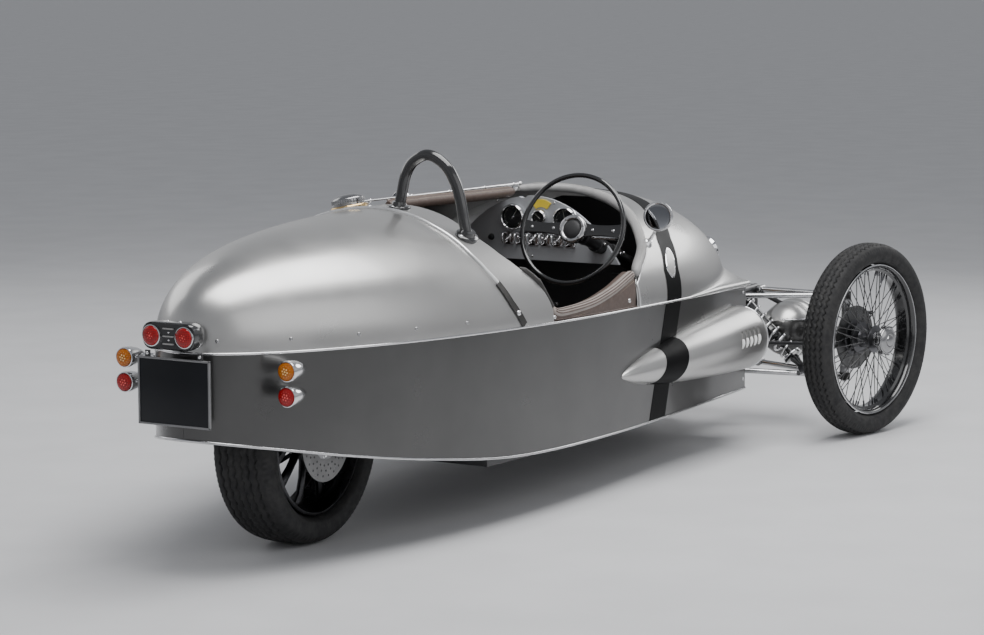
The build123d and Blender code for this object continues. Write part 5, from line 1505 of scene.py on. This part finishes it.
# padded strip round the opening's rear corner
g = Geo()
line = []
for y in np.linspace(-0.390, -0.425, 10):
    p_, n_ = on_skin(edge_x(REAR_EDGE, y), y)
    q_, _n = on_skin(edge_x(REAR_EDGE, y - 0.004), y - 0.004)
    r_, _n = on_skin(edge_x(REAR_EDGE, y + 0.004), y + 0.004)
    t_ = (r_ - q_) / np.linalg.norm(r_ - q_)
    side_ = np.cross(n_, t_)
    side_ /= np.linalg.norm(side_)
    if side_[0] < 0:
        side_ = -side_
    line.append(p_ - n_ * 0.0045 + side_ * 0.0085)
line.append(V3((0.694, -0.437, 0.612)))
line = smooth_path(line, 3)
g.add(sweep(line, [0.0118 * min(1.0, 0.3 + 0.1 * i) for i in range(len(line))], 20), 0)
o = piece("rear_edge_leather", g, ["black_leather"], angle=70)

# brown roll along the cover's edge, grey roll round the front edge with its bright bead
brown_line = [(x, 0.059, on_skin(x, 0.059)[0][2] - 0.004) for x in np.linspace(0.596, 1.372, 46)]
g = Geo()
g.add(sweep(brown_line, [0.0185 * (0.6 if i in (0, 45) else 0.9 if i in (1, 44) else 1.0) for i in range(46)], 24), 0)
for q in (0.6, 1.25):
    g.add(stitches([(p_[0], p_[1] - 0.0187 * cos(q), p_[2] + 0.0187 * sin(q)) for p_ in brown_line[1:-1]]), 2)
g.add(sweep([(p_[0], p_[1] + 0.014, p_[2] + 0.0125) for p_ in brown_line[1:-1]], 0.0032, 10), 1)
o = piece("cover_roll_leather", g, ["brown", "brown_pale", "thread"], replaces="coaming_roll", angle=70)
edge_pts = [(edge_x(FRONT_EDGE, y), y) for y in np.concatenate([np.linspace(0.064, -0.30, 16), np.linspace(-0.33, -0.452, 12)])]
base = [on_skin(x, y) for x, y in edge_pts]
line, bead, inner = [], [], []
for i, (p_, n_) in enumerate(base):
    t_ = base[min(i + 1, len(base) - 1)][0] - base[max(i - 1, 0)][0]
    t_ /= np.linalg.norm(t_)
    side_ = np.cross(n_, t_)
    side_ /= np.linalg.norm(side_)
    if np.dot(side_, p_ - V3((1.0, -0.18, p_[2]))) < 0:
        side_ = -side_
    line.append(p_ + n_ * 0.0045 - side_ * 0.0110)
    bead.append(p_ + n_ * 0.0042 + side_ * 0.0095)
    inner.append((p_ + n_ * 0.0045 - side_ * 0.0110, n_, side_))
line = smooth_path(line, 4)
for rise_ in (0.072, 0.056, 0.036, 0.018, 0.004):
    th_ = asin(rise_ / bh(1.2275)[1])
    bead.append(skin(1.2275, th_) + skin_normal(1.2275, th_) * 0.0022)
bead = smooth_path(bead, 4)
rl = [0.0128 + 0.0034 * min(1.0, i / (0.4 * len(line))) for i in range(len(line))]
rl[0], rl[1], rl[-1], rl[-2] = 0.0075, 0.0115, 0.0100, 0.0145
g = Geo()
g.add(sweep(line, rl, 26), 0)
for q in (0.9, 1.9):
    g.add(stitches(smooth_path([c_ + n_ * 0.0160 * sin(q) + s_ * 0.0160 * cos(q) for c_, n_, s_ in inner[1:-1]], 4)), 1)
o = piece("coaming_roll_grey", g, ["grey_leather", "ivory"], angle=70)
piece("coaming_bead", sweep(bead, 0.0038, 12), "bead")

# rail along the cover, on small posts
rail = [V3((0.505, 0.100, 0.915)), V3((1.500, 0.100, 0.897))]
g = Geo()
g.add(sweep([rail[0] + (rail[1] - rail[0]) * t for t in np.linspace(0, 1, 24)], 0.0040, 16))
for e_ in rail:
    g.add(lathe([(-0.0085 * cos(a), 0.0085 * sin(a)) for a in np.linspace(0, pi, 15)], e_, (1, 0, 0), 24))
for x in (0.560, 0.800, 1.030, 1.260, 1.455):
    t = (x - 0.505) / 0.995
    top_ = rail[0] + (rail[1] - rail[0]) * t
    foot_, n_ = on_skin(x, 0.106)
    g.add(sweep([foot_ - n_ * 0.001, foot_ + n_ * 0.006, top_], [0.0040, 0.0030, 0.0032], 12))
    g.add(lathe([(-0.0005, 0.0085), (0.0015, 0.0082), (0.0035, 0.0055), (0.0045, 0.0030)], foot_, n_, 22))
    g.add(lathe([(-0.0062 * cos(a), 0.0062 * sin(a)) for a in np.linspace(0, pi, 11)], top_, (1, 0, 0), 18))
piece("cover_rail_posts", g, "chrome", replaces="cover_rail", angle=50)

# gauges, arc plate and switches on the dash
DX = 1.400
GA = ((0.067, 0.798, 0.042, 0.62), (-0.029, 0.799, 0.027, 0.30), (-0.123, 0.796, 0.042, 0.45))
g, gg = Geo(), Geo()
for gy, gz, gr, val in GA:
    c0 = V3((DX, gy, gz))
    g.add(lathe([(0.0005, gr - 0.006), (0.0, gr + 0.0005), (0.006, gr + 0.0010), (0.014, gr - 0.0002), (0.0185, gr - 0.0022), (0.0198, gr - 0.0042), (0.0180, gr - 0.0060), (0.0100, gr - 0.0068)],
                c0, (-1, 0, 0), 72, loop=True), 0)
    g.add(lathe([(0.001, gr - 0.0065), (0.0062, gr - 0.0065), (0.0064, gr * 0.4), (0.0064, 0.0)], c0, (-1, 0, 0), 56), 1)
    nt = 31 if gr > 0.03 else 16
    for k in range(nt):
        a = radians(225 - 270 * k / (nt - 1))
        e_ = V3((0, -cos(a), sin(a)))
        long_ = (k % 5 == 0)
        r1_, r0_ = gr - 0.0090, gr - (0.0150 if long_ else 0.0120) + (0.002 if gr < 0.03 else 0)
        g.add(sweep([c0 + V3((-0.0066, 0, 0)) + e_ * r0_, c0 + V3((-0.0066, 0, 0)) + e_ * r1_], 0.0007 if long_ else 0.00045, 5), 2)
    a = radians(225 - 270 * val)
    e_ = V3((0, -cos(a), sin(a)))
    g.add(sweep([c0 + V3((-0.0086, 0, 0)) - e_ * gr * 0.16, c0 + V3((-0.0086, 0, 0)), c0 + V3((-0.0086, 0, 0)) + e_ * gr * 0.74], [0.0014, 0.0012, 0.0004], 8), 2)
    g.add(dome(c0 + V3((-0.0075, 0, 0)), (-1, 0, 0), gr * 0.10, 0.0030, 20), 0)
    gg.add(lathe([(0.0120, gr - 0.0066), (0.0138, gr - 0.0068), (0.0148, gr * 0.5), (0.0151, 0.0)], c0, (-1, 0, 0), 56))
rows_o, rows_i = [], []
for a in np.linspace(radians(52), radians(128), 22):
    rows_o.append([(DX - 0.0036, -0.034 - r_ * cos(a), 0.801 + r_ * sin(a)) for r_ in (0.0325, 0.0350, 0.0550, 0.0575)])
    rows_i.append([(DX - 0.0002, -0.034 - r_ * cos(a), 0.801 + r_ * sin(a)) for r_ in (0.0325, 0.0350, 0.0550, 0.0575)])
g.add(shell(np.array(rows_o), np.array(rows_i)), 3)
for k in range(6):
    y = 0.085 - 0.045 * k
    g.add(bevelled(DX - 0.0040, DX + 0.0002, y - 0.0175, y + 0.0175, 0.7075, 0.7485, 0.0014), 0)
    g.add(bevelled(DX - 0.0052, DX - 0.0030, y - 0.0080, y + 0.0080, 0.7140, 0.7420, 0.0010), 4)
    g.add(lathe([(0.003, 0.0068), (0.006, 0.0068), (0.0066, 0.0060), (0.0092, 0.0052), (0.0096, 0.0030)], (DX, y, 0.728), (-1, 0, 0), 6), 0)
    tip = V3((DX - 0.0250, y, 0.7345 if k % 2 else 0.7225))
    g.add(sweep([V3((DX - 0.008, y, 0.728)), tip], [0.0020, 0.0036], 12), 0)
    g.add(lathe([(-0.0038 * cos(q), 0.0038 * sin(q)) for q in np.linspace(0, pi, 9)], tip, (1, 0, 0), 14), 0)
    for dy in (-0.0150, 0.0150):
        g.add(sweep(smooth_path([(DX, y + dy, 0.7110), (DX - 0.014, y + dy, 0.7120), (DX - 0.0215, y + dy, 0.7190), (DX - 0.0225, y + dy, 0.7280), (DX - 0.0215, y + dy, 0.7370),
                                 (DX - 0.014, y + dy, 0.7440), (DX, y + dy, 0.7450)], 5), 0.0022, 10), 0)
for y in (0.150, 0.215, 0.290):
    g.add(lathe([(0.0, 0.0105), (0.003, 0.0105), (0.0045, 0.0088), (0.010, 0.0075), (0.013, 0.0070), (0.0145, 0.0050), (0.015, 0.0)], (DX, y, 0.728), (-1, 0, 0), 24), 1)
for y, z in ((0.33, 0.700), (-0.33, 0.700), (0.0, 0.672), (0.20, 0.672), (-0.08, 0.848), (0.13, 0.850)):
    g.add(dome((DX, y, z), (-1, 0, 0), 0.0042, 0.0026, 16), 0)
piece("gauges_and_toggles", g, ["chrome", "dial", "ivory", "yellow", "steel"], replaces="gauges_and_switches", angle=40)
piece("gauge_glasses", gg, "glass", angle=60)

# steering wheel
SWC = V3((1.205, -0.246, 0.789))
SA, SX = V3((-cos(radians(20)), 0, sin(radians(20)))), V3((0, -1, 0))
SY = np.cross(SA, SX)


def on_wheel(a, b, h=0.0):
    return SWC + SX * a + SY * b + SA * h


g = Geo()
n_r, n_t = 192, 14
v, f = [], []
for i in range(n_r):
    a = tau * i / n_r
    grip = 1.0 + 0.045 * cos(36 * a)
    for j in range(n_t):
        b_ = tau * j / n_t
        back_ = grip if sin(b_) < -0.2 else 1.0
        rr_ = 0.1750 + 0.0079 * cos(b_)
        v.append(on_wheel(rr_ * cos(a), rr_ * sin(a), 0.0079 * sin(b_) * back_))
for i in range(n_r):
    for j in range(n_t):
        f.append((i * n_t + j, ((i + 1) % n_r) * n_t + j, ((i + 1) % n_r) * n_t + (j + 1) % n_t, i * n_t + (j + 1) % n_t))
g.add((v, f), 0)
for e_ in (-1, 1):
    rt, rb = [], []
    for q in np.linspace(0, 1, 16):
        a = 0.040 + (0.1715 - 0.040) * q
        w_ = 0.0215 - 0.0055 * sin(pi * min(1.0, q * 1.05)) * 0.8
        h_ = -0.0075 + 0.0075 * q
        rt.append([on_wheel(e_ * a, w_ * t, h_ + 0.0036 * (1 - 0.35 * t ** 6)) for t in np.linspace(-1, 1, 9)])
        rb.append([on_wheel(e_ * a, w_ * t, h_ - 0.0036) for t in np.linspace(-1, 1, 9)])
    g.add(shell(np.array(rt), np.array(rb)), 1)
    for q in (0.22, 0.78):
        a = 0.040 + (0.1715 - 0.040) * q
        g.add(hexbolt(on_wheel(e_ * a, 0, -0.0040 + 0.0075 * q), SA, 0.0034, 0.0028), 3)
g.add(lathe([(-0.0150, 0.0280), (-0.0165, 0.0420), (-0.0130, 0.0450), (0.0000, 0.0460), (0.0045, 0.0448), (0.0068, 0.0415), (0.0068, 0.0340), (0.0030, 0.0300), (0.0, 0.0285)], SWC, SA, 72, loop=True), 3)
g.add(lathe([(-0.0120, 0.0), (-0.0120, 0.0300), (0.0010, 0.0295), (0.0050, 0.0275), (0.0085, 0.0190), (0.0100, 0.0)], SWC, SA, 48), 2)
for k in range(6):
    a = tau * k / 6 + 0.26
    g.add(dome(on_wheel(0.0378 * cos(a), 0.0378 * sin(a), 0.0068), SA, 0.0026, 0.0016, 12), 1)
g.add(lathe([(-0.0740, 0.0), (-0.0740, 0.0200), (-0.0700, 0.0230), (-0.0300, 0.0290), (-0.0160, 0.0380), (-0.0120, 0.0380)], SWC, SA, 40), 1)
g.add(rod(SWC - SA * 0.030, SWC - SA * 0.499, 0.0088, 20), 3)
piece("steering_wheel_rim", g, ["gloss", "gloss", "plastic", "steel"], "steering", replaces="steering_wheel", angle=45)

g = Geo()
for d0 in (0.082, 0.180, 0.300):
    g.add(lathe([(-0.011, 0.0242), (-0.010, 0.0285), (0.010, 0.0285), (0.011, 0.0242)], SWC - SA * d0, SA, 36), 0)
    g.add(hexbolt(SWC - SA * d0 + V3((0, -0.0285, 0)), (0, -1, 0), 0.0045, 0.0045), 1)
k0 = SWC - SA * 0.100
g.add(sweep([k0 + SX * 0.022, k0 + SX * 0.070, k0 + SX * 0.104], [0.0062, 0.0054, 0.0056], 14), 1)
g.add(lathe([(-0.0118 * cos(a), 0.0118 * sin(a)) for a in np.linspace(0, pi, 13)], k0 + SX * 0.122, (0, 1, 0), 24), 2)
piece("column_collars", g, ["black", "steel", "gloss"], angle=45)

# carpet, side trims and pedals
cxs = np.linspace(0.390, 1.738, 60)
top_, bot_ = [], []
for x in cxs:
    w_ = plan(x) - 0.030
    top_.append([(x, w_ * t, 0.2086 + 0.0006 * sin(70 * x + 9 * t)) for t in np.linspace(-1, 1, 44)])
    bot_.append([(x, w_ * t, 0.2045) for t in np.linspace(-1, 1, 44)])
piece("floor_carpet", shell(np.array(top_), np.array(bot_)), "carpet", angle=60)
for s, side in ((-1, "right"), (1, "left")):
    ro, ri = [], []
    for x in np.linspace(0.390, 1.738, 70):
        zt = mould(x) - 0.012
        vs_ = np.linspace(0, 1, 16)
        puff = [0.0035 * sin(pi * q) ** 0.5 * (1 - 0.55 * (1 - abs(sin(pi * (x - 0.39) / 0.1348))) ** 4) for q in vs_]
        ro.append([(x, s * (plan(x) - 0.0225 - pq), 0.215 + (zt - 0.215) * q) for q, pq in zip(vs_, puff)])
        ri.append([(x, s * (plan(x) - 0.0205), 0.215 + (zt - 0.215) * q) for q in vs_])
    g = Geo().add(shell(np.array(ro), np.array(ri)), 0)
    for q in (0.03, 0.97):
        g.add(stitches([(x, s * (plan(x) - 0.0245), 0.215 + (mould(x) - 0.012 - 0.215) * q) for x in np.linspace(0.40, 1.73, 70)], 0.009), 1)
    piece("side_trim_" + side, g, ["black_leather", "thread"], angle=60)
g = Geo()
for y, w_, z0, x0 in ((-0.170, 0.026, 0.300, 1.628), (-0.275, 0.036, 0.335, 1.600)):
    g.add(sweep(smooth_path([(1.742, y, 0.560), (1.700, y, 0.545), (1.655, y, 0.470), (x0 + 0.020, y, z0 + 0.035)], 8), 0.0075, 12), 0)
    t_ = radians(-28)
    g.add(bevelled(x0 - 0.004, x0 + 0.004, y - w_, y + w_, z0 - 0.030, z0 + 0.030, 0.003, turn=((cos(t_), 0, sin(t_)), (0, 1, 0), (-sin(t_), 0, cos(t_))), at=(x0, y, z0)), 0)
    for k in range(4):
        zz = z0 - 0.021 + 0.014 * k
        g.add(bevelled(x0 - 0.0085, x0 - 0.0035, y - w_ + 0.003, y + w_ - 0.003, zz - 0.0028, zz + 0.0028, 0.0012, turn=((cos(t_), 0, sin(t_)), (0, 1, 0), (-sin(t_), 0, cos(t_))), at=(x0, y, z0)), 1)
g.add(bevelled(1.728, 1.7445, -0.320, -0.120, 0.520, 0.590, 0.004), 0)
piece("pedals", g, ["black", "hose"], angle=45)
g = Geo()
for x, ax_ in ((0.3865, 1), (1.7445, -1)):
    for y in np.linspace(-0.36, 0.36, 9):
        for z in (0.235, 0.470):
            g.add(hexbolt((x, y, z), (ax_, 0, 0), 0.0050, 0.0040), 0)
piece("bulkhead_bolts", g, "steel")

# nose: frame round the mouth, bolts on the cone
g = Geo()


def nose_x(y, lift=0.0):
    return 2.117 + (0.253 + lift) * sqrt(max(0.0, 1 - (y / 0.262) ** 2))


loop_ = [(nose_x(y, 0.001), y, 0.470) for y in np.linspace(-0.150, 0.150, 40)] + [(nose_x(0.150, 0.001), 0.150, z) for z in np.linspace(0.462, 0.240, 20)]
loop_ += [(nose_x(y, 0.001), y, 0.232) for y in np.linspace(0.150, -0.150, 40)] + [(nose_x(0.150, 0.001), -0.150, z) for z in np.linspace(0.240, 0.462, 20)]
g.add(sweep(loop_, 0.0052, 12, closed=True), 0)
for y in (-0.235, -0.205, 0.205, 0.235):
    for z in (0.200, 0.495):
        n_ = V3((0.253 * sqrt(max(0.01, 1 - (y / 0.262) ** 2)) / 0.253 ** 2, y / 0.262 ** 2, 0))
        g.add(dome((nose_x(y), y, z), n_, 0.0052, 0.0034, 16), 0)
g.add(sweep([(nose_x(y, 0.002), y, 0.1785) for y in np.linspace(-0.2615, 0.2615, 70)], 0.0040, 10), 0)
g.add(sweep([(nose_x(y, 0.002), y, 0.5140) for y in np.linspace(-0.2615, 0.2615, 70)], 0.0040, 10), 0)
piece("nose_trim", g, "chrome", angle=50)

# underside: ribs, bolts; battery lid; motor fins; ball joint boots
g = Geo()
for y in (-0.30, -0.15, 0.0, 0.15, 0.30):
    g.add(bevelled(0.480, 2.020, y - 0.012, y + 0.012, 0.1805, 0.1862, 0.002), 0)
for x in np.linspace(0.46, 2.04, 14):
    for s in (-1, 1):
        g.add(hexbolt((x, s * (plan(x) - 0.045), 0.1862), (0, 0, -1), 0.0060, 0.0048), 1)
for s in (-1, 1):
    g.add(lathe([(-0.0005, 0.036), (0.0035, 0.036), (0.0045, 0.033), (0.0045, 0.020), (0.0020, 0.016), (0.0020, 0.0)], (1.600, s * 0.225, 0.186), (0, 0, -1), 36), 1)
piece("floor_ribs", g, ["black", "steel"], angle=45)
g = Geo()
g.add(bevelled(1.786, 2.089, -0.304, 0.304, 0.505, 0.5605, 0.008), 0)
for x in np.linspace(1.81, 2.065, 4):
    for y in (-0.285, 0.285):
        g.add(hexbolt((x, y, 0.5605), (0, 0, 1), 0.0055, 0.0045), 1)
for y in np.linspace(-0.22, 0.22, 6):
    g.add(bevelled(1.800, 2.075, y - 0.006, y + 0.006, 0.556, 0.5650, 0.002), 0)
piece("battery_lid", g, ["plastic", "steel"], angle=45)
g = Geo()
for k in range(9):
    yk = -0.138 + 0.022 * k
    g.add(lathe([(-0.0022, 0.0915), (-0.0018, 0.0985), (0.0018, 0.0985), (0.0022, 0.0915)], (0.488, yk, 0.322), (0, 1, 0), 72), 0)
for k in range(8):
    a = tau * k / 8 + 0.2
    for yk, e_ in ((-0.150, -1), (0.080, 1)):
        g.add(hexbolt((0.488 + 0.078 * cos(a), yk, 0.322 + 0.078 * sin(a)), (0, e_, 0), 0.0050, 0.0045), 1)
piece("motor_fins", g, ["alloy", "steel"], angle=45)
g = Geo()
for s in (-1, 1):
    for z, e_ in ((0.474, -1), (0.192, 1)):
        g.add(lathe([(-0.014, 0.0120), (-0.013, 0.0178), (0.010, 0.0182), (0.0130, 0.0165), (0.0145, 0.0175), (0.0160, 0.0150), (0.0175, 0.0155)], (2.420, s * 0.690, z), (0, 0, e_), 28), 0)
        g.add(hexbolt((2.420, s * 0.690, z - e_ * 0.013), (0, 0, -e_), 0.0085, 0.0075), 1)
piece("ball_joint_boots", g, ["hose", "steel"], angle=45)

for n_, m_ in (("floor_pan", "black"), ("bulkheads", "black"), ("wheel_liner", "plastic"), ("nose_cone", "silver"), ("nose_fins", "brass"), ("front_frame", "black"),
               ("suspension_arms", "steel"), ("rack_housing", "alloy"), ("steering_column", "black"), ("dashboard", "dash"),
               ("swing_arm", "black"), ("drive_motor", "alloy"), ("battery_pack", "plastic"),
               ("knuckle_right", "alloy"), ("knuckle_left", "alloy"),  ("tie_rod_right", "black"), ("tie_rod_left", "black"), ("steering_rack", "plastic")):
    dress(n_, m_)


# --------------------------------------------------------------------------- floor
me = bpy.data.meshes.new("studio_floor")
R_ = 300.0
me.from_pydata([(-R_, -R_, 0), (R_, -R_, 0), (R_, R_, 0), (-R_, R_, 0)], [], [(0, 1, 2, 3)])
fm = Mat("studio_floor", (0.62, 0.62, 0.63), 0.75)
fm.colour(fm.noise(3.0, 5.0), (0.68, 0.68, 0.69), (0.72, 0.72, 0.73))
fm.bump(fm.noise(90.0, 4.0), 0.05, 0.002)
me.materials.append(fm.m)
floor = bpy.data.objects.new("studio_floor", me)
bpy.context.scene.collection.objects.link(floor)

bpy.context.view_layer.update()
